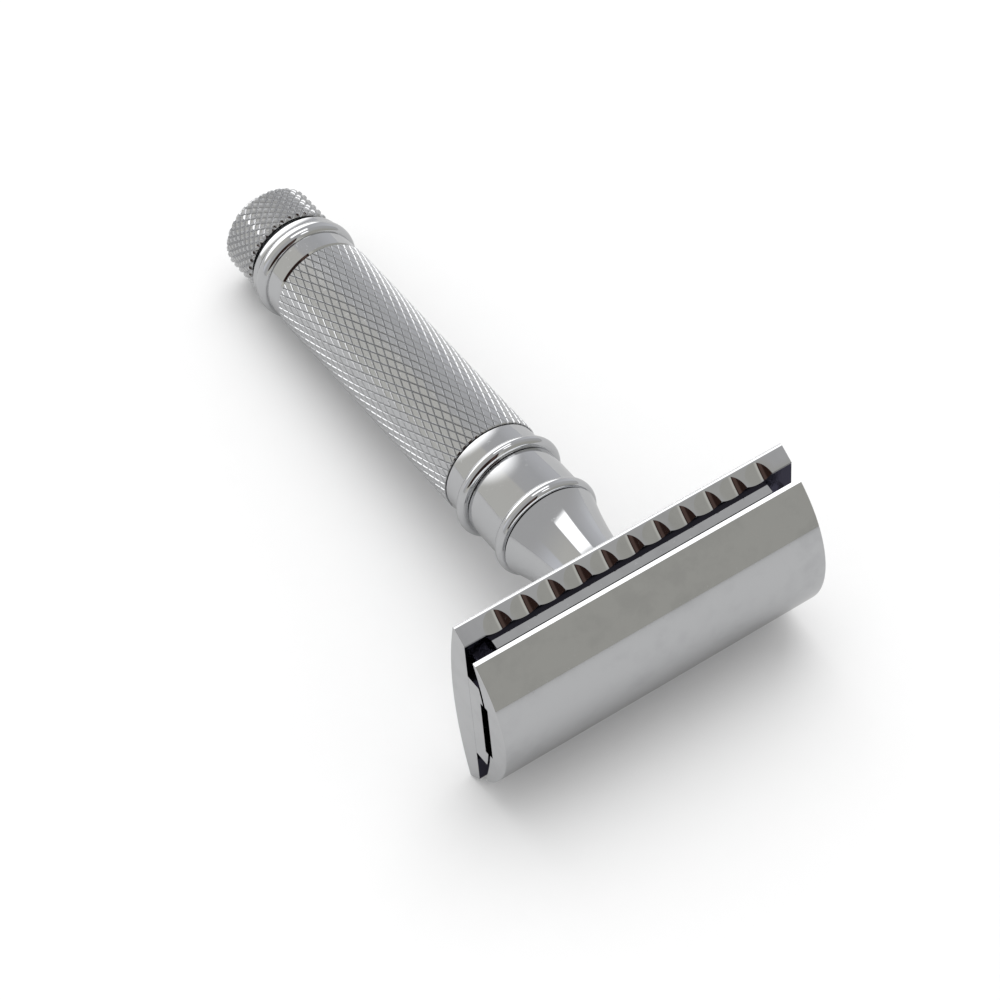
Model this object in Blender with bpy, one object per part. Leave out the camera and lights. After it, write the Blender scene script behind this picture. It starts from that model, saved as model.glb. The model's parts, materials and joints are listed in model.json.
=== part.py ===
"""Double-edge safety razor of the two-piece kind, lying on its side.

The base plate is fixed to the handle. The knob at the handle's end turns a draw rod that runs
through the handle, and the nut on the rod's far end pulls down the cap's threaded stud.

Every piece is modelled in the handle's own frame: Z runs along the handle's axis towards the cap,
X runs along the head, and Z = 0 is the plane of the guard bars' outer edges. One empty carries
them all, and lays the razor down on a guard bar's edge and the end ferrule's bead.
"""

import math

import bmesh
import bpy
from mathutils import Matrix, Vector

MM = 0.001

# Clearances
TOUCH_GAP = 0.3 * MM  # between two pieces that rest on or sit in each other
RUNNING_GAP = 0.3 * MM  # round a piece that turns or slides
CUT_OVERRUN = 1.0 * MM  # how far a cutter passes the surface that it opens

# Base plate, across the head
PLATE_LENGTH = 42.0 * MM
GUARD_HALF_SPAN = 12.85 * MM
GUARD_EDGE_RADIUS = 0.2 * MM
GUARD_LAND_HALF_SPAN = 12.55 * MM
GUARD_LAND_HEIGHT = 0.7 * MM
GUARD_LIP_HALF_SPAN = 11.45 * MM
GUARD_LIP_HEIGHT = 2.05 * MM
GUARD_LIP_WIDTH = 0.1 * MM
UNDERSIDE_BELLY = 1.6 * MM
FLOOR_HEIGHT = 2.0 * MM
BED_HALF_WIDTH = 9.8 * MM
BED_FOOT_HALF_WIDTH = 10.15 * MM
BED_EDGE_HEIGHT = 3.0 * MM
BED_CROWN_HEIGHT = 4.85 * MM
BED_LENGTH = 35.5 * MM
BED_END_HALF_WIDTH = 6.6 * MM
BED_CORNER_RADIUS = 1.4 * MM

# Scallops of the guard bars
SCALLOP_COUNT = 11
SCALLOP_PITCH = 3.35 * MM
SCALLOP_RADIUS = 3.25 * MM
SCALLOP_DEPTH = 0.41 * MM  # at the lip
SCALLOP_REACH = 1.68 * MM  # from the lip to a scallop's tip
SCALLOP_OVERRUN = 0.7 * MM  # past the lip, short of the blade bed

# Slots for the blade's end tabs
TAB_SLOT_WIDTH = 8.4 * MM
TAB_SLOT_DEPTH = 3.5 * MM
TAB_SLOT_FLOOR = 4.05 * MM
TAB_SLOT_CEILING = 5.3 * MM

# Cap
CAP_LENGTH = 41.9 * MM
CAP_HALF_WIDTH = 10.05 * MM
CAP_EDGE_HEIGHT = 3.77 * MM
CAP_CROWN_RISE = 4.5 * MM
CAP_EDGE_RADIUS = 0.15 * MM
BLADE_GAP = 0.3 * MM

# Cap stud and locating posts
STUD_RADIUS = 2.0 * MM
STUD_SEAT = 1.5 * MM
STUD_REACH = 13.0 * MM
STUD_CHAMFER = 0.4 * MM
POST_RADIUS = 1.25 * MM
POST_SPACING = 27.0 * MM
POST_SEAT = 1.3 * MM
POST_REACH = 4.6 * MM
POST_CHAMFER = 0.3 * MM

# Handle: length and thickness of each piece
NECK_SOCKET_DEPTH = 3.0 * MM
NECK_LENGTH = 14.0 * MM  # below the guard plane
BAND_LENGTH = 7.4 * MM
RING_LENGTH = 4.4 * MM
BARREL_LENGTH = 36.4 * MM
FERRULE_LENGTH = 5.8 * MM
NECK_TOP_RADIUS = 4.2 * MM
NECK_BASE_RADIUS = 6.1 * MM
NECK_FLARE_POWER = 2.2
BAND_RADIUS = 6.05 * MM
NECK_BEAD_RADIUS = 6.6 * MM
RING_RADIUS = 6.1 * MM
RING_BEAD_RADIUS = 6.9 * MM
BARREL_RADIUS = 6.25 * MM
FERRULE_RADIUS = 6.1 * MM
FERRULE_BEAD_RADIUS = 6.7 * MM
BEAD_WIDTH = 1.6 * MM
FERRULE_BEAD_WIDTH = 2.1 * MM
FERRULE_LIP = 1.0 * MM
HANDLE_BORE = 4.1 * MM
SPIGOT_LENGTH = 4.0 * MM
EDGE_CHAMFER = 0.2 * MM

# How far below the guard plane each piece ends
NECK_END = NECK_LENGTH
BAND_END = NECK_END + BAND_LENGTH
RING_END = BAND_END + RING_LENGTH
BARREL_END = RING_END + BARREL_LENGTH
FERRULE_END = BARREL_END + FERRULE_LENGTH

# Knob
KNOB_RADIUS = 6.05 * MM
KNOB_LENGTH = 6.5 * MM
KNOB_GAP = 0.9 * MM
KNOB_INNER_CHAMFER = 0.3 * MM
KNOB_OUTER_CHAMFER = 0.8 * MM
KNOB_WASHER_RADIUS = 4.6 * MM
PLUG_RADIUS = 3.2 * MM
PLUG_THICKNESS = 1.2 * MM

# Draw rod and what it runs in
ROD_RADIUS = 2.0 * MM
NUT_RADIUS = 2.9 * MM
NUT_START = 2.0 * MM
NUT_LENGTH = 15.0 * MM
ROD_IN_NUT = 3.6 * MM
NUT_PIN_RADIUS = 0.6 * MM
THRUST_WASHER_THICKNESS = 0.7 * MM
UPPER_BUSH_LENGTH = 12.0 * MM
LOWER_BUSH_LENGTH = 6.0 * MM
FERRULE_BORE = 3.1 * MM
CLIP_RADIUS = 3.3 * MM
CLIP_THICKNESS = 0.6 * MM
CLIP_GROOVE_DEPTH = 0.5 * MM
CLIP_OPENING_ANGLE = 70.0

# Roundness
VISIBLE_STEPS = 40
HIDDEN_STEPS = 20
SCALLOP_STEPS = 48
ARC_STEPS = 6


def clear_scene():
    """Remove the objects that Blender starts with."""
    for old in list(bpy.data.objects):
        bpy.data.objects.remove(old, do_unlink=True)


def make_material(name, colour, roughness, metallic):
    """A Principled material with one finish."""
    material = bpy.data.materials.new(name)
    material.use_nodes = True
    shader = material.node_tree.nodes["Principled BSDF"]
    shader.inputs["Base Color"].default_value = (*colour, 1.0)
    shader.inputs["Roughness"].default_value = roughness
    shader.inputs["Metallic"].default_value = metallic
    return material


def add_object(name, mesh, material, parent):
    """Link a mesh to the scene under the handle's empty."""
    piece = bpy.data.objects.new(name, mesh)
    piece.data.materials.append(material)
    bpy.context.scene.collection.objects.link(piece)
    piece.parent = parent
    return piece


def arc(centre, radius, start, end, steps=ARC_STEPS):
    """Points of an arc, from one angle to another in degrees, ends included."""
    points = []
    for step in range(steps + 1):
        angle = math.radians(start + (end - start) * step / steps)
        points.append((centre[0] + radius * math.cos(angle), centre[1] + radius * math.sin(angle)))
    return points


def crown(half_width, edge_height, crown_height, steps):
    """Points of a shallow arc over the head, from -half_width to +half_width."""
    rise = crown_height - edge_height
    radius = (half_width**2 + rise**2) / (2 * rise)
    spread = math.degrees(math.asin(half_width / abs(radius)))
    if radius > 0:
        return arc((0.0, crown_height - radius), radius, 90 + spread, 90 - spread, steps)
    return arc((0.0, crown_height - radius), -radius, 270 - spread, 270 + spread, steps)


def rounded_corner(before, corner, after, radius, steps=ARC_STEPS):
    """An arc that rounds one corner of an outline."""
    corner = Vector(corner)
    towards_before = (Vector(before) - corner).normalized()
    towards_after = (Vector(after) - corner).normalized()
    half_angle = towards_before.angle(towards_after) / 2
    centre = corner + (towards_before + towards_after).normalized() * radius / math.sin(half_angle)
    first = corner + towards_before * radius / math.tan(half_angle) - centre
    last = corner + towards_after * radius / math.tan(half_angle) - centre
    start = math.atan2(first.y, first.x)
    sweep = (math.atan2(last.y, last.x) - start + math.pi) % (2 * math.pi) - math.pi
    return arc(centre, radius, math.degrees(start), math.degrees(start + sweep), steps)


def mesh_from(builder, name):
    """Close a bmesh with its faces pointing out, and make it a smooth-shaded mesh."""
    bmesh.ops.recalc_face_normals(builder, faces=builder.faces)
    mesh = bpy.data.meshes.new(name)
    builder.to_mesh(mesh)
    builder.free()
    mesh.shade_smooth()
    mesh.set_sharp_from_angle(angle=math.radians(30))
    return mesh


def spun(name, outline, steps):
    """A closed outline of (radius, height) points turned round the Z axis."""
    builder = bmesh.new()
    corners = [builder.verts.new((radius, 0.0, height)) for radius, height in outline]
    edges = []
    for first, second in zip(corners, corners[1:] + corners[:1]):
        if first.co.x > 0 or second.co.x > 0:
            edges.append(builder.edges.new((first, second)))
    bmesh.ops.spin(
        builder,
        geom=corners + edges,
        cent=(0, 0, 0),
        axis=(0, 0, 1),
        angle=2 * math.pi,
        steps=steps,
        use_merge=True,
    )
    bmesh.ops.remove_doubles(builder, verts=builder.verts, dist=1e-7)
    return mesh_from(builder, name)


def extruded(name, outline, length):
    """A closed outline of (y, z) points drawn out along X, centred on X = 0."""
    builder = bmesh.new()
    corners = [builder.verts.new((-length / 2, y, z)) for y, z in outline]
    face = builder.faces.new(corners)
    grown = bmesh.ops.extrude_face_region(builder, geom=[face])["geom"]
    moved = [item for item in grown if isinstance(item, bmesh.types.BMVert)]
    bmesh.ops.translate(builder, verts=moved, vec=(length, 0, 0))
    return mesh_from(builder, name)


def raised(name, outline, low, high):
    """A closed outline of (x, y) points drawn out along Z."""
    builder = bmesh.new()
    corners = [builder.verts.new((x, y, low)) for x, y in outline]
    face = builder.faces.new(corners)
    grown = bmesh.ops.extrude_face_region(builder, geom=[face])["geom"]
    moved = [item for item in grown if isinstance(item, bmesh.types.BMVert)]
    bmesh.ops.translate(builder, verts=moved, vec=(0, 0, high - low))
    return mesh_from(builder, name)


def block(name, low, high):
    """A box between two corners."""
    outline = [(low[0], low[1]), (high[0], low[1]), (high[0], high[1]), (low[0], high[1])]
    return raised(name, outline, low[2], high[2])


def joined(name, meshes, places):
    """Copies of meshes at their places, in one mesh."""
    builder = bmesh.new()
    for mesh, place in zip(meshes, places):
        before = set(builder.verts)
        builder.from_mesh(mesh)
        fresh = [vert for vert in builder.verts if vert not in before]
        bmesh.ops.transform(builder, matrix=place, verts=fresh)
    return mesh_from(builder, name)


def cut(piece, mesh, overlapping=False):
    """Cut a mesh out of a piece with a Boolean."""
    cutter = bpy.data.objects.new(mesh.name, mesh)
    bpy.context.scene.collection.objects.link(cutter)
    cutter.parent = piece.parent
    cutter.hide_render = True
    cutter.display_type = "WIRE"
    boolean = piece.modifiers.new(mesh.name, "BOOLEAN")
    boolean.operation = "DIFFERENCE"
    boolean.solver = "EXACT"
    boolean.object = cutter
    boolean.use_self = overlapping


def solid_turning(name, radius, low, high, steps, chamfer=0.0):
    """A round bar with chamfered ends."""
    if not chamfer:
        return spun(name, [(0, low), (radius, low), (radius, high), (0, high)], steps)
    outline = [
        (0, low),
        (radius - chamfer, low),
        (radius, low + chamfer),
        (radius, high - chamfer),
        (radius - chamfer, high),
        (0, high),
    ]
    return spun(name, outline, steps)


def bead(radius, root, low, high, steps=ARC_STEPS):
    """The half-round outline of a bead between two heights, from low to high."""
    middle = (low + high) / 2
    half = (high - low) / 2
    points = []
    for step in range(steps + 1):
        angle = math.pi * step / steps
        points.append((root + (radius - root) * math.sin(angle), middle - half * math.cos(angle)))
    return points


# ---------------------------------------------------------------- head


def plate_outline():
    """Section of the base plate: bellied underside, guard bars, floors and blade bed."""
    corner = (GUARD_HALF_SPAN, 0.0)
    land = (GUARD_LAND_HALF_SPAN, GUARD_LAND_HEIGHT)
    lip = (GUARD_LIP_HALF_SPAN, GUARD_LIP_HEIGHT)
    underside = crown(GUARD_HALF_SPAN - GUARD_EDGE_RADIUS, 0.0, -UNDERSIDE_BELLY, 12)
    right = rounded_corner(underside[-2], corner, land, GUARD_EDGE_RADIUS, 4)
    right += [land, lip, (GUARD_LIP_HALF_SPAN - GUARD_LIP_WIDTH, FLOOR_HEIGHT)]
    right.append((BED_FOOT_HALF_WIDTH, FLOOR_HEIGHT))
    left = [(-y, z) for y, z in reversed(right)]
    bed = crown(BED_HALF_WIDTH, BED_EDGE_HEIGHT, BED_CROWN_HEIGHT, 10)
    return underside[1:-1] + right + list(reversed(bed)) + left


def scallop_cutter():
    """Leaning round bars that cut the scallops of both guard bars, deepest at the lip."""
    lip = Vector((0, GUARD_LIP_HALF_SPAN, GUARD_LIP_HEIGHT))
    land = Vector((0, GUARD_LAND_HALF_SPAN, GUARD_LAND_HEIGHT))
    up_face = (lip - land).normalized()
    across = Vector((1, 0, 0))
    lean = Matrix.Rotation(math.atan(SCALLOP_DEPTH / SCALLOP_REACH), 3, across)
    along = lean @ up_face
    out = along.cross(across)
    tip = lip - up_face * SCALLOP_REACH
    high = SCALLOP_REACH + SCALLOP_OVERRUN
    bar = solid_turning("scallop", SCALLOP_RADIUS, -CUT_OVERRUN, high, SCALLOP_STEPS)
    turn = Matrix((across, out, along)).transposed().to_4x4()
    places = []
    for side in (1, -1):
        for index in range(SCALLOP_COUNT):
            x = (index - (SCALLOP_COUNT - 1) / 2) * SCALLOP_PITCH
            place = Matrix.Translation(tip + out * SCALLOP_RADIUS + across * x) @ turn
            places.append(Matrix.Diagonal((1, side, 1, 1)) @ place)
    return joined("scallop_cutter", [bar] * len(places), places)


def corner_cutter():
    """Cutters that narrow the blade bed at both ends of the head."""
    inner_x = BED_LENGTH / 2
    inner_y = BED_END_HALF_WIDTH
    outer_x = PLATE_LENGTH / 2 + CUT_OVERRUN
    outer_y = BED_FOOT_HALF_WIDTH + TOUCH_GAP
    outline = [(inner_x, outer_y), (inner_x, BED_HALF_WIDTH - BED_CORNER_RADIUS)]
    outline += [(inner_x + BED_CORNER_RADIUS * 0.4, inner_y + BED_CORNER_RADIUS * 0.5)]
    outline += [(inner_x + BED_CORNER_RADIUS, inner_y), (outer_x, inner_y), (outer_x, outer_y)]
    corner = raised("corner", outline, FLOOR_HEIGHT, BED_CROWN_HEIGHT + CUT_OVERRUN)
    places = []
    for turn in ((1, 1), (-1, 1), (1, -1), (-1, -1)):
        places.append(Matrix.Diagonal((*turn, 1, 1)))
    return joined("corner_cutter", [corner] * 4, places)


def tab_cutter(name, low, high):
    """Cutters for the slots at both ends of the head, between two heights."""
    inner = PLATE_LENGTH / 2 - TAB_SLOT_DEPTH
    outer = PLATE_LENGTH / 2 + CUT_OVERRUN
    half = TAB_SLOT_WIDTH / 2
    slot = block("tab_slot", (inner, -half, low), (outer, half, high))
    return joined(name, [slot] * 2, [Matrix.Identity(4), Matrix.Rotation(math.pi, 4, "Z")])


def base_plate(material, parent):
    """The guard plate, with its scalloped bars, blade bed, neck socket and holes."""
    plate = add_object("base_plate", extruded("base_plate", plate_outline(), PLATE_LENGTH), material, parent)
    cut(plate, scallop_cutter(), overlapping=True)
    cut(plate, corner_cutter())
    cut(plate, tab_cutter("plate_tab_cutter", TAB_SLOT_FLOOR, BED_CROWN_HEIGHT + CUT_OVERRUN))
    socket = NECK_TOP_RADIUS + TOUCH_GAP
    stud_hole = STUD_RADIUS + RUNNING_GAP
    low = -UNDERSIDE_BELLY - CUT_OVERRUN
    shoulder = NECK_SOCKET_DEPTH - UNDERSIDE_BELLY + TOUCH_GAP
    high = BED_CROWN_HEIGHT + CUT_OVERRUN
    outline = [(0, low), (socket, low), (socket, shoulder), (stud_hole, shoulder), (stud_hole, high), (0, high)]
    cut(plate, spun("neck_socket_cutter", outline, VISIBLE_STEPS))
    hole = solid_turning("post_hole", POST_RADIUS + RUNNING_GAP, low, high, HIDDEN_STEPS)
    places = [Matrix.Translation((side * POST_SPACING / 2, 0, 0)) for side in (-1, 1)]
    cut(plate, joined("post_hole_cutter", [hole] * 2, places))
    return plate


def cap_outline():
    """Crescent section of the cap."""
    top = crown(CAP_HALF_WIDTH, CAP_EDGE_HEIGHT, CAP_EDGE_HEIGHT + CAP_CROWN_RISE, 24)
    low_edge = BED_EDGE_HEIGHT + BLADE_GAP
    inside = crown(CAP_HALF_WIDTH - CAP_EDGE_RADIUS, low_edge, BED_CROWN_HEIGHT + BLADE_GAP, 12)
    return top + list(reversed(inside))


def cap(material, parent):
    """The domed cap, with the blind holes of its stud and posts."""
    piece = add_object("cap", extruded("cap", cap_outline(), CAP_LENGTH), material, parent)
    low = BED_EDGE_HEIGHT - CUT_OVERRUN
    cut(piece, tab_cutter("cap_tab_cutter", low, TAB_SLOT_CEILING))
    seat = BED_CROWN_HEIGHT + BLADE_GAP
    stud = solid_turning("stud_seat_cutter", STUD_RADIUS + TOUCH_GAP, low, seat + STUD_SEAT, HIDDEN_STEPS)
    cut(piece, stud)
    hole = solid_turning("post_seat", POST_RADIUS + TOUCH_GAP, low, seat + POST_SEAT, HIDDEN_STEPS)
    places = [Matrix.Translation((side * POST_SPACING / 2, 0, 0)) for side in (-1, 1)]
    cut(piece, joined("post_seat_cutter", [hole] * 2, places))
    return piece


def cap_stud(material, parent):
    """The threaded stud under the cap."""
    high = BED_CROWN_HEIGHT + BLADE_GAP + STUD_SEAT - TOUCH_GAP
    low = BED_CROWN_HEIGHT + BLADE_GAP - STUD_REACH
    mesh = solid_turning("cap_stud", STUD_RADIUS, low, high, HIDDEN_STEPS, STUD_CHAMFER)
    return add_object("cap_stud", mesh, material, parent)


def cap_posts(material, parent):
    """The two posts that line up the cap, the blade and the base plate."""
    high = BED_CROWN_HEIGHT + BLADE_GAP + POST_SEAT - TOUCH_GAP
    low = BED_CROWN_HEIGHT + BLADE_GAP - POST_REACH
    mesh = solid_turning("cap_post", POST_RADIUS, low, high, HIDDEN_STEPS, POST_CHAMFER)
    for name, side in (("cap_post_left", -1), ("cap_post_right", 1)):
        post = add_object(name, mesh, material, parent)
        post.location.x = side * POST_SPACING / 2


# -------------------------------------------------------------- handle


def neck(material, parent):
    """The waisted cone between the base plate and the collar, with a spigot below."""
    bore = NUT_RADIUS + RUNNING_GAP
    spigot = HANDLE_BORE - TOUCH_GAP
    outline = [(bore, -NECK_END - SPIGOT_LENGTH), (spigot, -NECK_END - SPIGOT_LENGTH), (spigot, -NECK_END)]
    steps = 8
    for step in range(steps + 1):
        share = step / steps
        flare = (NECK_BASE_RADIUS - NECK_TOP_RADIUS) * (1 - share) ** NECK_FLARE_POWER
        outline.append((NECK_TOP_RADIUS + flare, -NECK_END + share * (NECK_END - UNDERSIDE_BELLY)))
    top = NECK_SOCKET_DEPTH - UNDERSIDE_BELLY
    outline += [(NECK_TOP_RADIUS, top), (bore, top)]
    return add_object("neck", spun("neck", outline, VISIBLE_STEPS), material, parent)


def beaded_ring(name, radius, bead_radius, start, end, material, parent):
    """A plain ring with a half-round bead at its head end."""
    high = -start - TOUCH_GAP
    outline = [(HANDLE_BORE, -end), (radius, -end), (radius, high - BEAD_WIDTH)]
    outline += bead(bead_radius, radius, high - BEAD_WIDTH, high)[1:]
    outline += [(HANDLE_BORE, high)]
    return add_object(name, spun(name, outline, VISIBLE_STEPS), material, parent)


def collar_band(material, parent):
    """The plain band below the neck."""
    return beaded_ring("collar_band", BAND_RADIUS, NECK_BEAD_RADIUS, NECK_END, BAND_END, material, parent)


def collar_ring(material, parent):
    """The plain ring between the band and the knurled barrel."""
    return beaded_ring("collar_ring", RING_RADIUS, RING_BEAD_RADIUS, BAND_END, RING_END, material, parent)


def barrel(material, parent):
    """The grip tube, drawn at the crests of its knurling."""
    high = -RING_END - TOUCH_GAP
    low = -BARREL_END
    outline = [
        (HANDLE_BORE, low),
        (BARREL_RADIUS - EDGE_CHAMFER, low),
        (BARREL_RADIUS, low + EDGE_CHAMFER),
        (BARREL_RADIUS, high - EDGE_CHAMFER),
        (BARREL_RADIUS - EDGE_CHAMFER, high),
        (HANDLE_BORE, high),
    ]
    return add_object("barrel", spun("barrel", outline, VISIBLE_STEPS), material, parent)


def end_ferrule(material, parent):
    """The ring that closes the handle at the knob, with a bead and a spigot into the barrel."""
    high = -BARREL_END - TOUCH_GAP
    low = -FERRULE_END
    spigot = HANDLE_BORE - TOUCH_GAP
    lip = FERRULE_RADIUS + EDGE_CHAMFER
    outline = [(FERRULE_BORE, low), (lip - EDGE_CHAMFER, low), (lip, low + EDGE_CHAMFER)]
    outline += bead(FERRULE_BEAD_RADIUS, lip, low + FERRULE_LIP, low + FERRULE_LIP + FERRULE_BEAD_WIDTH)
    outline += [(FERRULE_RADIUS, low + FERRULE_LIP + FERRULE_BEAD_WIDTH), (FERRULE_RADIUS, high)]
    outline += [(spigot, high), (spigot, high + SPIGOT_LENGTH), (FERRULE_BORE, high + SPIGOT_LENGTH)]
    return add_object("end_ferrule", spun("end_ferrule", outline, VISIBLE_STEPS), material, parent)


def tube(name, bore, radius, low, high, material, parent, steps=HIDDEN_STEPS):
    """A plain round tube between two heights."""
    outline = [(bore, low), (radius, low), (radius, high), (bore, high)]
    return add_object(name, spun(name, outline, steps), material, parent)


# Heights along the draw rod, from the nut down to the knob
NUT_TOP = -NUT_START
NUT_LOW = NUT_TOP - NUT_LENGTH
UPPER_BUSH_TOP = NUT_LOW - THRUST_WASHER_THICKNESS - 2 * TOUCH_GAP
UPPER_BUSH_LOW = UPPER_BUSH_TOP - UPPER_BUSH_LENGTH
CLIP_TOP = UPPER_BUSH_LOW - RUNNING_GAP
CLIP_LOW = CLIP_TOP - CLIP_THICKNESS
KNOB_TOP = -FERRULE_END - KNOB_GAP
KNOB_LOW = KNOB_TOP - KNOB_LENGTH
ROD_TOP = NUT_LOW + ROD_IN_NUT
ROD_LOW = KNOB_LOW + PLUG_THICKNESS + TOUCH_GAP
NUT_PIN_HEIGHT = NUT_LOW + ROD_IN_NUT / 2


def bushes(material, parent):
    """The bushes that the draw rod turns in. The upper one also lines up band, ring and barrel."""
    bore = ROD_RADIUS + RUNNING_GAP
    outer = HANDLE_BORE - TOUCH_GAP
    tube("upper_bush", bore, outer, UPPER_BUSH_LOW, UPPER_BUSH_TOP, material, parent)
    low = -FERRULE_END + TOUCH_GAP
    tube("lower_bush", bore, FERRULE_BORE - TOUCH_GAP, low, low + LOWER_BUSH_LENGTH, material, parent)


def cross_hole(name):
    """Cutter for the pin that joins the nut and the rod."""
    radius = NUT_PIN_RADIUS + TOUCH_GAP
    reach = NUT_RADIUS + CUT_OVERRUN
    hole = solid_turning(name, radius, -reach, reach, HIDDEN_STEPS)
    hole.transform(Matrix.Translation((0, 0, NUT_PIN_HEIGHT)) @ Matrix.Rotation(math.pi / 2, 4, "X"))
    return hole


def draw_nut(material, parent):
    """The threaded sleeve that takes the cap's stud."""
    nut = tube("draw_nut", STUD_RADIUS + RUNNING_GAP, NUT_RADIUS, NUT_LOW, NUT_TOP, material, parent)
    cut(nut, cross_hole("nut_pin_hole"))
    return nut


def draw_rod(material, parent):
    """The rod from the nut to the knob, with the retaining clip's groove."""
    groove = ROD_RADIUS - CLIP_GROOVE_DEPTH
    outline = [(0, ROD_LOW), (ROD_RADIUS, ROD_LOW), (ROD_RADIUS, CLIP_LOW - TOUCH_GAP)]
    outline += [(groove, CLIP_LOW - TOUCH_GAP), (groove, CLIP_TOP + TOUCH_GAP)]
    outline += [(ROD_RADIUS, CLIP_TOP + TOUCH_GAP), (ROD_RADIUS, ROD_TOP), (0, ROD_TOP)]
    rod = add_object("draw_rod", spun("draw_rod", outline, HIDDEN_STEPS), material, parent)
    cut(rod, cross_hole("rod_pin_hole"))
    return rod


def nut_pin(material, parent):
    """The cross pin through the nut and the rod."""
    reach = NUT_RADIUS - TOUCH_GAP / 2
    mesh = solid_turning("nut_pin", NUT_PIN_RADIUS, -reach, reach, HIDDEN_STEPS)
    pin = add_object("nut_pin", mesh, material, parent)
    pin.location.z = NUT_PIN_HEIGHT
    pin.rotation_euler.x = math.pi / 2
    return pin


def washers(material, parent):
    """The washer under the nut, and the one between the ferrule and the knob."""
    bore = ROD_RADIUS + RUNNING_GAP
    low = UPPER_BUSH_TOP + TOUCH_GAP
    tube("thrust_washer", bore, NUT_RADIUS, low, low + THRUST_WASHER_THICKNESS, material, parent)
    low = KNOB_TOP + TOUCH_GAP
    high = -FERRULE_END - TOUCH_GAP
    tube("knob_washer", bore, KNOB_WASHER_RADIUS, low, high, material, parent, VISIBLE_STEPS)


def retaining_clip(material, parent):
    """The open ring that snaps into the rod's groove."""
    inner = ROD_RADIUS - CLIP_GROOVE_DEPTH + TOUCH_GAP
    half = CLIP_OPENING_ANGLE / 2
    outline = arc((0, 0), CLIP_RADIUS, half, 360 - half, 16)
    outline += arc((0, 0), inner, 360 - half, half, 16)
    mesh = raised("retaining_clip", outline, CLIP_LOW, CLIP_TOP)
    return add_object("retaining_clip", mesh, material, parent)


def knob(material, parent):
    """The knob on the rod's end, drawn at the crests of its knurling."""
    bore = ROD_RADIUS + TOUCH_GAP
    recess = PLUG_RADIUS + TOUCH_GAP
    shelf = KNOB_LOW + PLUG_THICKNESS
    outline = [
        (recess, KNOB_LOW),
        (KNOB_RADIUS - KNOB_OUTER_CHAMFER, KNOB_LOW),
        (KNOB_RADIUS, KNOB_LOW + KNOB_OUTER_CHAMFER),
        (KNOB_RADIUS, KNOB_TOP - KNOB_INNER_CHAMFER),
        (KNOB_RADIUS - KNOB_INNER_CHAMFER, KNOB_TOP),
        (bore, KNOB_TOP),
        (bore, shelf),
        (recess, shelf),
    ]
    return add_object("knob", spun("knob", outline, VISIBLE_STEPS), material, parent)


def knob_plug(material, parent):
    """The disc that closes the knob's bore."""
    high = KNOB_LOW + PLUG_THICKNESS - TOUCH_GAP
    mesh = solid_turning("knob_plug", PLUG_RADIUS, KNOB_LOW, high, VISIBLE_STEPS)
    return add_object("knob_plug", mesh, material, parent)


# ---------------------------------------------------------------- pose


def lowest_point(piece, up):
    """The point of a finished piece that lies lowest along a direction."""
    evaluated = piece.evaluated_get(bpy.context.evaluated_depsgraph_get())
    points = [piece.matrix_local @ vertex.co for vertex in evaluated.data.vertices]
    return min(points, key=lambda point: point.dot(up))


def lay_down(carrier, plate, ferrule):
    """Turn and move the razor so that it lies on a guard bar and the ferrule, centred over the origin."""
    bpy.context.view_layer.update()
    lean = 0.0
    for _ in range(6):
        up = Vector((0, math.cos(lean), math.sin(lean)))
        head_point = lowest_point(plate, up)
        tail_point = lowest_point(ferrule, up)
        lean = math.atan((head_point.y - tail_point.y) / (tail_point.z - head_point.z))
    carrier.rotation_euler.x = math.pi / 2 - lean
    bpy.context.view_layer.update()
    low = Vector((math.inf,) * 3)
    high = Vector((-math.inf,) * 3)
    graph = bpy.context.evaluated_depsgraph_get()
    for piece in carrier.children:
        if piece.hide_render:
            continue
        evaluated = piece.evaluated_get(graph)
        for vertex in evaluated.data.vertices:
            place = evaluated.matrix_world @ vertex.co
            low = Vector(map(min, low, place))
            high = Vector(map(max, high, place))
    carrier.location = (-(low.x + high.x) / 2, -(low.y + high.y) / 2, -low.z)


def build():
    clear_scene()
    carrier = bpy.data.objects.new("razor_axis", None)
    bpy.context.scene.collection.objects.link(carrier)
    chrome = make_material("chrome", (0.74, 0.75, 0.77), 0.12, 1.0)
    brass = make_material("brass", (0.72, 0.56, 0.30), 0.3, 1.0)
    steel = make_material("steel", (0.55, 0.56, 0.58), 0.3, 1.0)
    plate = base_plate(chrome, carrier)
    cap(chrome, carrier)
    cap_stud(brass, carrier)
    cap_posts(steel, carrier)
    neck(chrome, carrier)
    collar_band(chrome, carrier)
    collar_ring(chrome, carrier)
    barrel(chrome, carrier)
    ferrule = end_ferrule(chrome, carrier)
    bushes(brass, carrier)
    draw_nut(brass, carrier)
    draw_rod(steel, carrier)
    nut_pin(steel, carrier)
    washers(steel, carrier)
    retaining_clip(steel, carrier)
    knob(chrome, carrier)
    knob_plug(chrome, carrier)
    lay_down(carrier, plate, ferrule)


build()
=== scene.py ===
"""Finish of the double-edge safety razor: polished head, turned collar, knurled grip and knob.

Every piece is made in the handle's own frame, where Z runs along the handle's axis towards the cap,
X runs along the head, and Z = 0 is the plane of the guard bars' outer edges. It is then turned to
where the razor lies.
"""

import json
import math

import bmesh
import bpy
from bpy.props import FloatProperty, FloatVectorProperty, IntProperty, PointerProperty
from mathutils import Matrix, Vector


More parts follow.
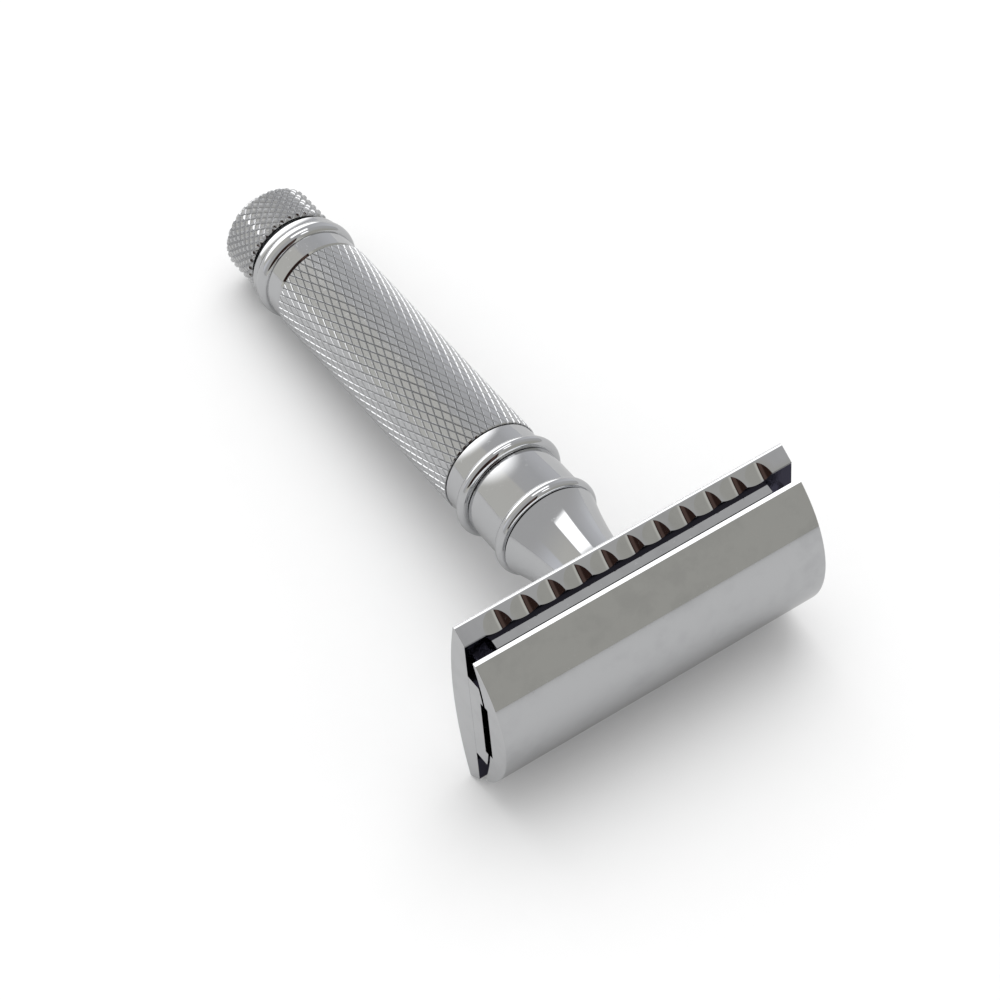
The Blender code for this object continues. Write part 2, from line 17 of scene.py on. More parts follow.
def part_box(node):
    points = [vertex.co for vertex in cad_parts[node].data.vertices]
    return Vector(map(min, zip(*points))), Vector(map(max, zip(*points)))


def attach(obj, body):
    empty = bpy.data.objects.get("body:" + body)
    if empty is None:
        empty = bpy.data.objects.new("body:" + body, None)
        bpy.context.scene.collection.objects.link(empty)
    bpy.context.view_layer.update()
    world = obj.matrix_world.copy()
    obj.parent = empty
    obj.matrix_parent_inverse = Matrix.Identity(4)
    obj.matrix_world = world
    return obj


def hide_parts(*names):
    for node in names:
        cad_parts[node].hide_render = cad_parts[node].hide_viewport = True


bl_info = {
    "name": "Safety razor finish",
    "version": (1, 0, 0),
    "blender": (4, 5, 0),
    "location": "3D View > Sidebar > Razor",
    "description": "Makes the finished pieces of a double-edge safety razor on its packed frame",
    "category": "Object",
}

MM = 0.001

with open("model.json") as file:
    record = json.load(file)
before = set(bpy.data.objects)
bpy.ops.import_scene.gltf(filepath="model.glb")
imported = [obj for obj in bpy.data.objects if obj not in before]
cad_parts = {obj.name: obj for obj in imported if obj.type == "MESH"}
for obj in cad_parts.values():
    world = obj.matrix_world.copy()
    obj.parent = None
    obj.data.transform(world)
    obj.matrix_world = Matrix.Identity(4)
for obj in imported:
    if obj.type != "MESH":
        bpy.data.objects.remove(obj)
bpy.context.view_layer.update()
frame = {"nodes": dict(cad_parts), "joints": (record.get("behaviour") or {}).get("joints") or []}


def handle_frame():
    """The matrix that takes the handle's own frame to where the razor lies."""
    turn = next(joint for joint in frame["joints"] if joint["name"] == "knob_turn")
    up = -Vector(turn["axis"]).normalized()
    along = Vector((1.0, 0.0, 0.0))
    axes = Matrix((along, up.cross(along), up)).transposed()
    return Matrix.Translation(turn["pos_m"]) @ axes.to_4x4()


HANDLE = handle_frame()


def span(node):
    """Lowest height, highest height and outer radius of a CAD node in the handle's frame."""
    inverse = HANDLE.inverted()
    points = [inverse @ vertex.co for vertex in frame["nodes"][node].data.vertices]
    heights = [point.z for point in points]
    return min(heights), max(heights), max(point.xy.length for point in points)


# ------------------------------------------------------------------ sizes

CLEARANCE = 0.3 * MM  # round studs and posts, and above the neck's end
TOUCH = 0.02 * MM  # between turned faces that would otherwise fall together
FINE_EDGE = 0.12 * MM  # rounding of a turned piece's small edges
SPIGOT_EASE = 0.05 * MM  # how much a spigot is thinner than the bore that it fits
CUT_OVERRUN = 1.0 * MM  # how far a cutter reaches past what it cuts
WELD = 1e-6  # points closer than this, in metres, are one point
CHAMFER_ANGLE = 32.0  # degrees: sharper edges of a carved piece get a chamfer
CARVED_SHARP = 13.0  # degrees: edges of a carved piece that stay sharp in the shading
SLEEVE_SHARP = 22.0  # degrees: the same for a knurled sleeve
GRIP_CHAMFERS = (0.3 * MM, 0.12 * MM)  # at the knob's end and at the head's end
KNOB_HEAD_CHAMFER = 0.3 * MM  # on the knob's end next to the ferrule
FERRULE_ROUNDING = 0.25 * MM  # on the ferrule's edge next to the knob
RECESS_GAP = 0.12 * MM  # round the disc in the knob's end
SLEEVE_STEPS = 96  # sides of a knurled sleeve's bore
CAP_RIM = 0.15 * MM  # thickness of the cap's long edges
CORNER_OVERRUN = 0.3 * MM  # how far the corner cutters reach past the bed's foot
SCALLOP_OVERRUN = 0.03 * MM  # how far a scallop's dome reaches out of the bar's face


def length(name, description, default):
    """A length that a user would change, given in millimetres."""
    return FloatProperty(
        name=name,
        description=description,
        default=default * MM,
        unit="LENGTH",
        subtype="DISTANCE",
        precision=5,
    )


class RAZOR_PG_head(bpy.types.PropertyGroup):
    """Sizes of the cap and the guard plate."""

    plate_length: length("Plate length", "Length of the guard plate along the head", 42.0)
    guard_half_span: length("Guard half span", "From the axis to a guard bar's outer edge", 12.85)
    guard_edge_radius: length("Guard edge radius", "Rounding of a guard bar's outer edge", 0.12)
    land_half_span: length("Land half span", "From the axis to where a bar's edge meets its face", 12.68)
    land_height: length("Land height", "Height where a bar's edge meets its face", 0.38)
    lip_half_span: length("Lip half span", "From the axis to a guard bar's inner lip", 11.45)
    lip_height: length("Lip height", "Height of a guard bar's inner lip", 2.05)
    lip_width: length("Lip width", "Width of the lip's small inner slope", 0.1)
    belly: length("Belly", "How far the underside bulges towards the handle", 1.6)
    floor_height: length("Floor height", "Height of the floor between guard bar and bed", 2.0)
    bed_half_width: length("Bed half width", "Half the width of the blade bed", 9.8)
    bed_foot: length("Bed foot", "Half the width of the blade bed where it meets the floor", 10.1)
    bed_edge_height: length("Bed edge height", "Height of the blade bed at its edge", 3.0)
    bed_crown_height: length("Bed crown height", "Height of the blade bed over the axis", 4.85)
    bed_length: length("Bed length", "Length of the full-width part of the blade bed", 35.5)
    bed_end_half_width: length("Bed end half width", "Half the width of the bed's ends", 6.6)
    bed_corner: length("Bed corner", "Size of the rounded corners of the bed", 1.4)
    scallop_pitch: length("Scallop pitch", "Distance between scallops", 3.35)
    scallop_half_width: length("Scallop half width", "Half the width of a scallop's dome", 1.72)
    scallop_depth: length("Scallop depth", "Depth of a scallop's dome below the bar's face", 0.46)
    scallop_reach: length("Scallop reach", "From the lip down to a scallop's tip", 2.05)
    scallop_centre: length("Scallop centre", "How far the middle of a scallop's dome lies past the lip", 0.5)
    scallop_count: IntProperty(name="Scallops", description="Number of scallops on a bar", default=11, min=1)
    slot_width: length("Tab slot width", "Width of the slots for the blade's tabs", 8.4)
    slot_depth: length("Tab slot depth", "Depth of the slots for the blade's tabs", 3.5)
    slot_floor: length("Tab slot floor", "Height of the slots' floor in the plate", 4.05)
    slot_ceiling: length("Tab slot ceiling", "Height of the slots' ceiling in the cap", 5.3)
    cap_length: length("Cap length", "Length of the cap along the head", 41.9)
    cap_half_width: length("Cap half width", "Half the width of the cap", 10.05)
    cap_crown_half: length("Crown half width", "Half the width of the dome over the upright edges", 9.97)
    cap_edge_height: length("Cap edge height", "Height of the cap's long edges", 3.77)
    cap_rise: length("Cap rise", "Height of the cap's crown over its edges", 4.5)
    blade_gap: length("Blade gap", "Space that the blade takes up between bed and cap", 0.3)
    post_spacing: length("Post spacing", "Distance between the locating posts", 27.0)
    edge_chamfer: length("Edge chamfer", "Chamfer on the head's small edges", 0.035)


class RAZOR_PG_handle(bpy.types.PropertyGroup):
    """Sizes of the handle's finished surfaces."""

    neck_top_radius: length("Neck top radius", "Radius of the neck at the plate", 4.2)
    neck_base_radius: length("Neck base radius", "Radius of the neck at the collar", 6.1)
    neck_flare: FloatProperty(name="Neck flare", description="How late the neck widens", default=2.2, min=1.0)
    bore: length("Handle bore", "Radius of the bore through collar and grip", 4.1)
    neck_bore: length("Neck bore", "Radius of the bore through the neck", 3.2)
    ferrule_bore: length("Ferrule bore", "Radius of the bore through the end ferrule", 3.1)
    rod_bore: length("Rod bore", "Radius of the knob's bore on the draw rod", 2.3)
    spigot: length("Spigot length", "Length of the turned-down ends that join pieces", 4.0)
    band_radius: length("Band radius", "Radius of the plain band", 6.05)
    ring_radius: length("Ring radius", "Radius of the plain ring", 6.1)
    ferrule_radius: length("Ferrule radius", "Radius of the end ferrule", 6.1)
    bead_width: length("Bead width", "Width of the collar's beads", 1.6)
    ferrule_bead_width: length("Ferrule bead width", "Width of the end ferrule's bead", 2.1)
    ferrule_lip: length("Ferrule lip", "Width of the narrow lip next to the knob", 1.0)
    chamfer: length("Chamfer", "Chamfer on the turned pieces' ends", 0.2)
    seam: length("Seam", "How far a piece's head end reaches up to close the seam with its neighbour", 0.22)


class RAZOR_PG_knurl(bpy.types.PropertyGroup):
    """Sizes of the knurling on the grip and the knob."""

    grip_starts: IntProperty(name="Grip starts", description="Grooves of one hand round the grip", default=42)
    grip_pitch: length("Grip diamond length", "Length of a diamond along the grip", 2.44)
    grip_depth: length("Grip groove depth", "Depth of the grip's grooves", 0.13)
    grip_land: FloatProperty(name="Grip land", description="Share of a diamond left flat", default=0.76)
    knob_starts: IntProperty(name="Knob starts", description="Grooves of one hand round the knob", default=34)
    knob_pitch: length("Knob diamond length", "Length of a diamond along the knob", 1.1)
    knob_depth: length("Knob groove depth", "Depth of the knob's grooves", 0.22)
    knob_land: FloatProperty(name="Knob land", description="Share of a diamond left flat", default=0.4)
    knob_chamfer: length("Knob chamfer", "Chamfer on the knob's free end", 0.8)
    thread_pitch: length("Thread pitch", "Pitch of the cap stud's thread", 0.8)


class RAZOR_PG_finish(bpy.types.PropertyGroup):
    """Colours and polish of the metals."""

    chrome: FloatVectorProperty(
        name="Chrome", description="Colour of the chrome", default=(0.6, 0.605, 0.615), subtype="COLOR"
    )
    brass: FloatVectorProperty(
        name="Brass", description="Colour of the brass", default=(0.72, 0.52, 0.25), subtype="COLOR"
    )
    steel: FloatVectorProperty(
        name="Steel", description="Colour of the steel", default=(0.5, 0.51, 0.52), subtype="COLOR"
    )
    floor: FloatVectorProperty(
        name="Table", description="Colour of the table", default=(0.9, 0.9, 0.9), subtype="COLOR"
    )


# ------------------------------------------------------------ outlines and meshes


def arc(centre, radius, start, end, steps):
    """Points of an arc, from one angle to another in degrees, ends included."""
    points = []
    for step in range(steps + 1):
        angle = math.radians(start + (end - start) * step / steps)
        points.append((centre[0] + radius * math.cos(angle), centre[1] + radius * math.sin(angle)))
    return points


def crown(half_width, edge_height, crown_height, steps):
    """Points of a shallow arc over the head, from -half_width to +half_width."""
    rise = crown_height - edge_height
    radius = (half_width**2 + rise**2) / (2 * rise)
    spread = math.degrees(math.asin(half_width / abs(radius)))
    middle = 90 if radius > 0 else 270
    sweep = spread if radius > 0 else -spread
    return arc((0.0, crown_height - radius), abs(radius), middle + sweep, middle - sweep, steps)


def eased(corners, steps=4):
    """A closed outline with each corner rounded by its own radius: (x, y, radius) in, (x, y) out."""
    points = []
    for index, (x, y, radius) in enumerate(corners):
        here = Vector((x, y))
        before = Vector(corners[index - 1][:2]) - here
        after = Vector(corners[(index + 1) % len(corners)][:2]) - here
        if radius <= 0:
            points.append((x, y))
            continue
        half_angle = before.angle(after) / 2
        reach = radius / math.tan(half_angle)
        to_before = before.normalized()
        to_after = after.normalized()
        centre = here + (to_before + to_after).normalized() * radius / math.sin(half_angle)
        first = here + to_before * reach - centre
        last = here + to_after * reach - centre
        start = math.atan2(first.y, first.x)
        sweep = (math.atan2(last.y, last.x) - start + math.pi) % (2 * math.pi) - math.pi
        points += arc(centre, radius, math.degrees(start), math.degrees(start + sweep), steps)
    return points


def finished(builder, name, sharp=30.0):
    """A closed bmesh as a smooth-shaded mesh with its faces pointing out."""
    bmesh.ops.recalc_face_normals(builder, faces=builder.faces)
    mesh = bpy.data.meshes.new(name)
    builder.to_mesh(mesh)
    builder.free()
    mesh.shade_smooth()
    mesh.set_sharp_from_angle(angle=math.radians(sharp))
    return mesh


def turned(name, outline, steps=144, sharp=30.0):
    """A closed outline of (radius, height) points turned round the handle's axis."""
    builder = bmesh.new()
    corners = [builder.verts.new((radius, 0.0, height)) for radius, height in outline]
    edges = []
    for first, second in zip(corners, corners[1:] + corners[:1]):
        if first.co.x > 0 or second.co.x > 0:
            edges.append(builder.edges.new((first, second)))
    bmesh.ops.spin(
        builder,
        geom=corners + edges,
        cent=(0, 0, 0),
        axis=(0, 0, 1),
        angle=2 * math.pi,
        steps=steps,
        use_merge=True,
    )
    bmesh.ops.remove_doubles(builder, verts=builder.verts, dist=1e-7)
    return finished(builder, name, sharp)


def drawn(name, outline, low, high, along_head=False):
    """A closed outline drawn out along Z from (x, y) points, or along X from (y, z) points."""
    builder = bmesh.new()
    if along_head:
        corners = [builder.verts.new((low, first, second)) for first, second in outline]
        travel = (high - low, 0, 0)
    else:
        corners = [builder.verts.new((first, second, low)) for first, second in outline]
        travel = (0, 0, high - low)
    face = builder.faces.new(corners)
    grown = bmesh.ops.extrude_face_region(builder, geom=[face])["geom"]
    moved = [item for item in grown if isinstance(item, bmesh.types.BMVert)]
    bmesh.ops.translate(builder, verts=moved, vec=travel)
    return finished(builder, name)


def copies(name, mesh, places):
    """Copies of one mesh at several places, in one mesh."""
    builder = bmesh.new()
    for place in places:
        before = set(builder.verts)
        builder.from_mesh(mesh)
        fresh = [vertex for vertex in builder.verts if vertex not in before]
        bmesh.ops.transform(builder, matrix=place, verts=fresh)
    return finished(builder, name)


def evaluated_mesh(piece):
    """The mesh that an object's modifiers make."""
    graph = bpy.context.evaluated_depsgraph_get()
    return bpy.data.meshes.new_from_object(piece.evaluated_get(graph))


def carved(name, mesh, cutters, chamfer):
    """A mesh with other meshes cut out of it, and a fine chamfer on its sharp edges."""
    piece = bpy.data.objects.new(name, mesh)
    bpy.context.scene.collection.objects.link(piece)
    helpers = []
    for cutter_mesh, overlapping in cutters:
        cutter = bpy.data.objects.new(cutter_mesh.name, cutter_mesh)
        bpy.context.scene.collection.objects.link(cutter)
        helpers.append(cutter)
        boolean = piece.modifiers.new(cutter_mesh.name, "BOOLEAN")
        boolean.operation = "DIFFERENCE"
        boolean.solver = "EXACT"
        boolean.object = cutter
        boolean.use_self = overlapping
    if chamfer:
        easing = piece.modifiers.new("edge chamfer", "BEVEL")
        easing.width = chamfer
        easing.segments = 1
        easing.limit_method = "ANGLE"
        easing.angle_limit = math.radians(CHAMFER_ANGLE)
        easing.use_clamp_overlap = True
    result = evaluated_mesh(piece)
    for helper in helpers + [piece]:
        bpy.data.objects.remove(helper)
    builder = bmesh.new()
    builder.from_mesh(result)
    bmesh.ops.remove_doubles(builder, verts=builder.verts, dist=WELD)
    return finished(builder, name, CARVED_SHARP)


def fit_in(name, mesh, material, body, nodes):
    """Turn a mesh to where the razor lies, as the piece that stands for CAD nodes of a body."""
    mesh.name = name
    mesh.transform(HANDLE)
    mesh.materials.clear()
    mesh.materials.append(material)
    piece = bpy.data.objects.new(name, mesh)
    bpy.context.scene.collection.objects.link(piece)
    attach(piece, body)
    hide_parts(*nodes)
    return piece


# -------------------------------------------------------------- finishes


def new_group(name, inputs, outputs):
    """A shader node group with float or vector inputs and float outputs."""
    group = bpy.data.node_groups.new(name, "ShaderNodeTree")
    for label, kind, value in inputs:
        socket = group.interface.new_socket(label, in_out="INPUT", socket_type=kind)
        if value is not None:
            socket.default_value = value
    for label in outputs:
        group.interface.new_socket(label, in_out="OUTPUT", socket_type="NodeSocketFloat")
    start = group.nodes.new("NodeGroupInput")
    end = group.nodes.new("NodeGroupOutput")
    return group, start, end


def wire(tree, source, target):
    """Join an output socket to an input socket."""
    tree.links.new(source, target)


def calculate(tree, operation, first, second=None, third=None, clamp=False):
    """A Math node on sockets or numbers, and its result."""
    node = tree.nodes.new("ShaderNodeMath")
    node.operation = operation
    node.use_clamp = clamp
    for socket, value in zip(node.inputs, (first, second, third)):
        if value is None:
            continue
        if isinstance(value, (int, float)):
            socket.default_value = value
        else:
            wire(tree, value, socket)
    return node.outputs[0]


def remap(tree, value, low, high, to_low=0.0, to_high=1.0):
    """A Map Range node with smooth ends."""
    node = tree.nodes.new("ShaderNodeMapRange")
    node.interpolation_type = "SMOOTHSTEP"
    wire(tree, value, node.inputs["Value"])
    for label, number in (("From Min", low), ("From Max", high), ("To Min", to_low), ("To Max", to_high)):
        node.inputs[label].default_value = number
    return node.outputs["Result"]


def noise(tree, vector, scale, detail=3.0, roughness=0.5, dimensions="3D"):
    """A Noise node and its value."""
    node = tree.nodes.new("ShaderNodeTexNoise")
    node.noise_dimensions = dimensions
    node.inputs["Scale"].default_value = scale
    node.inputs["Detail"].default_value = detail
    node.inputs["Roughness"].default_value = roughness
    wire(tree, vector, node.inputs["W" if dimensions == "1D" else "Vector"])
    return node.outputs[0]


POLISHING_STRETCH = (60.0, 4200.0, 4200.0)  # polishing lines to the metre: few along the head, many across
SMUDGE_DARKNESS = 0.08  # how far a smudge goes towards the darker colour
SMUDGE_SHADE = 0.86  # the darker colour of a plain piece, against its own
SPECK_ROUGHNESS = 0.12
GROOVE_ROUGHNESS = 0.2
GROOVE_START = 0.35  # share of a groove's depth where its painted shade starts
# Painted shade on the plate's recess floor: painted near black, standing in for the shade and dark reflection
# under the cap.
RECESS_SHADE_COLOUR = (0.03, 0.028, 0.05)
RECESS_ROUGHNESS = 0.12
RECESS_SHADE_EDGE = (0.02 * MM, 0.01 * MM)  # distance from the recess floor where the painted shade starts and is full


def smudge_group():
    """Faint wiped smudges and specks: a mask that makes polish duller here and there."""
    inputs = [("Vector", "NodeSocketVector", None)]
    group, start, end = new_group("handling smudges", inputs, ["Smudge", "Speck"])
    broad = noise(group, start.outputs["Vector"], 90.0, 4.0, 0.6)
    wipe = noise(group, start.outputs["Vector"], 420.0, 3.0, 0.55)
    both = calculate(group, "MULTIPLY", broad, wipe)
    wire(group, remap(group, both, 0.2, 0.42), end.inputs["Smudge"])
    specks = noise(group, start.outputs["Vector"], 2600.0, 1.0, 0.4)
    wire(group, remap(group, specks, 0.68, 0.76), end.inputs["Speck"])
    return group


def scratch_group():
    """Fine polishing lines that run along the head."""
    inputs = [("Vector", "NodeSocketVector", None)]
    group, start, end = new_group("polishing lines", inputs, ["Height", "Mask"])
    stretch = group.nodes.new("ShaderNodeMapping")
    stretch.inputs["Scale"].default_value = POLISHING_STRETCH
    wire(group, start.outputs["Vector"], stretch.inputs["Vector"])
    lines = noise(group, stretch.outputs["Vector"], 1.0, 2.0, 0.6)
    wire(group, lines, end.inputs["Height"])
    wire(group, remap(group, lines, 0.6, 0.72), end.inputs["Mask"])
    return group


def lathe_group():
    """Lines left by the lathe: rings round the handle's axis, which runs along the vector's Z."""
    group, start, end = new_group("lathe lines", [("Vector", "NodeSocketVector", None)], ["Height", "Mask"])
    split = group.nodes.new("ShaderNodeSeparateXYZ")
    wire(group, start.outputs["Vector"], split.inputs[0])
    fine = noise(group, split.outputs["Z"], 9000.0, 3.0, 0.7, "1D")
    coarse = noise(group, split.outputs["Z"], 1500.0, 2.0, 0.5, "1D")
    height = calculate(group, "MULTIPLY_ADD", coarse, 0.5, fine)
    wire(group, height, end.inputs["Height"])
    wire(group, remap(group, fine, 0.55, 0.75), end.inputs["Mask"])
    return group


def depth_group():
    """How deep a point lies below a radius round the handle's axis, from 0 at it to 1 a depth below."""
    inputs = [
        ("Vector", "NodeSocketVector", None),
        ("Radius", "NodeSocketFloat", 0.006),
        ("Depth", "NodeSocketFloat", 0.0002),
    ]
    group, start, end = new_group("groove depth", inputs, ["Depth"])
    flat = group.nodes.new("ShaderNodeVectorMath")
    flat.operation = "MULTIPLY"
    flat.inputs[1].default_value = (1.0, 1.0, 0.0)
    wire(group, start.outputs["Vector"], flat.inputs[0])
    size = group.nodes.new("ShaderNodeVectorMath")
    size.operation = "LENGTH"
    wire(group, flat.outputs[0], size.inputs[0])
    below = calculate(group, "SUBTRACT", start.outputs["Radius"], size.outputs["Value"])
    wire(group, calculate(group, "DIVIDE", below, start.outputs["Depth"], clamp=True), end.inputs["Depth"])
    return group


GROUPS = {}


def shared(name):
    """One of the shared effects, built once."""
    makers = {
        "smudges": smudge_group,
        "scratches": scratch_group,
        "lathe": lathe_group,
        "depth": depth_group,
    }
    if name not in GROUPS:
        GROUPS[name] = makers[name]()
    return GROUPS[name]


def effect(tree, name, vector):
    """A shared effect placed in a material and fed with coordinates."""
    node = tree.nodes.new("ShaderNodeGroup")
    node.node_tree = shared(name)
    wire(tree, vector, node.inputs["Vector"])
    return node


def blend(tree, first, second, mask):
    """One colour, or a colour socket, that goes to another where a mask is 1."""
    mix = tree.nodes.new("ShaderNodeMix")
    mix.data_type = "RGBA"
    wire(tree, mask, mix.inputs["Factor"])
    for label, value in (("A", first), ("B", second)):
        if isinstance(value, tuple):
            mix.inputs[label].default_value = (*value, 1.0)
        else:
            wire(tree, value, mix.inputs[label])
    return mix.outputs["Result"]


def metal(name, colour, polish, smudged, lines, line_depth, turned_part=True, groove=None, floor=None):
    """A metal finish: base polish, smudges, specks, and lathe or polishing lines.

    groove is (radius, depth, painted_groove_shade) for a knurled piece, whose grooves get painted shade,
    darker with depth, and are duller.
    floor is the height of a recess's floor, which gets painted shade there: a near-black colour, and more
    roughness.
    """
    material = bpy.data.materials.new(name)
    material.use_nodes = True
    tree = material.node_tree
    shader = tree.nodes["Principled BSDF"]
    shader.inputs["Metallic"].default_value = 1.0
    place = tree.nodes.new("ShaderNodeTexCoord")
    into_handle = tree.nodes.new("ShaderNodeMapping")
    into_handle.vector_type = "POINT"
    inverse = HANDLE.inverted()
    into_handle.inputs["Location"].default_value = inverse.translation
    into_handle.inputs["Rotation"].default_value = inverse.to_euler()
    wire(tree, place.outputs["Object"], into_handle.inputs["Vector"])
    vector = into_handle.outputs["Vector"]
    smudges = effect(tree, "smudges", vector)
    marks = effect(tree, "lathe" if turned_part else "scratches", vector)
    rough = calculate(tree, "MULTIPLY_ADD", smudges.outputs["Smudge"], smudged, polish)
    rough = calculate(tree, "MULTIPLY_ADD", marks.outputs["Mask"], lines, rough)
    rough = calculate(tree, "MULTIPLY_ADD", smudges.outputs["Speck"], SPECK_ROUGHNESS, rough)
    mask = calculate(tree, "MULTIPLY", smudges.outputs["Smudge"], SMUDGE_DARKNESS)
    dark = tuple(channel * SMUDGE_SHADE for channel in colour)
    # Painted shade: a knurled piece's grooves are painted darker the deeper they lie, and made duller.
    if groove:
        radius, depth, painted_groove_shade = groove
        grooves = effect(tree, "depth", vector)
        grooves.inputs["Radius"].default_value = radius
        grooves.inputs["Depth"].default_value = depth
        low = remap(tree, grooves.outputs["Depth"], GROOVE_START, 1.0)
        rough = calculate(tree, "MULTIPLY_ADD", low, GROOVE_ROUGHNESS, rough)
        mask = calculate(tree, "MAXIMUM", mask, low)
        dark = tuple(channel * painted_groove_shade for channel in colour)
    # Painted shade: the recess floor is painted near black, and made rougher.
    if floor is not None:
        split = tree.nodes.new("ShaderNodeSeparateXYZ")
        wire(tree, vector, split.inputs[0])
        away = calculate(tree, "ABSOLUTE", calculate(tree, "SUBTRACT", split.outputs["Z"], floor))
        recess_shade = remap(tree, away, *RECESS_SHADE_EDGE)
        mask = calculate(tree, "MAXIMUM", mask, recess_shade)
        rough = calculate(tree, "MULTIPLY_ADD", recess_shade, RECESS_ROUGHNESS, rough)
        dark = RECESS_SHADE_COLOUR
    wire(tree, blend(tree, colour, dark, mask), shader.inputs["Base Color"])
    wire(tree, rough, shader.inputs["Roughness"])
    bump = tree.nodes.new("ShaderNodeBump")
    bump.inputs["Strength"].default_value = 1.0
    bump.inputs["Distance"].default_value = line_depth
    wire(tree, marks.outputs["Height"], bump.inputs["Height"])
    wire(tree, bump.outputs["Normal"], shader.inputs["Normal"])
    return material


# -------------------------------------------------------------- knurling


# A diamond's flank, from its foot up: share of the narrowing done, share of the groove's depth reached.
DIAMOND_FLANK = ((0.06, 0.02), (0.72, 0.66), (0.9, 0.93), (1.0, 1.0))


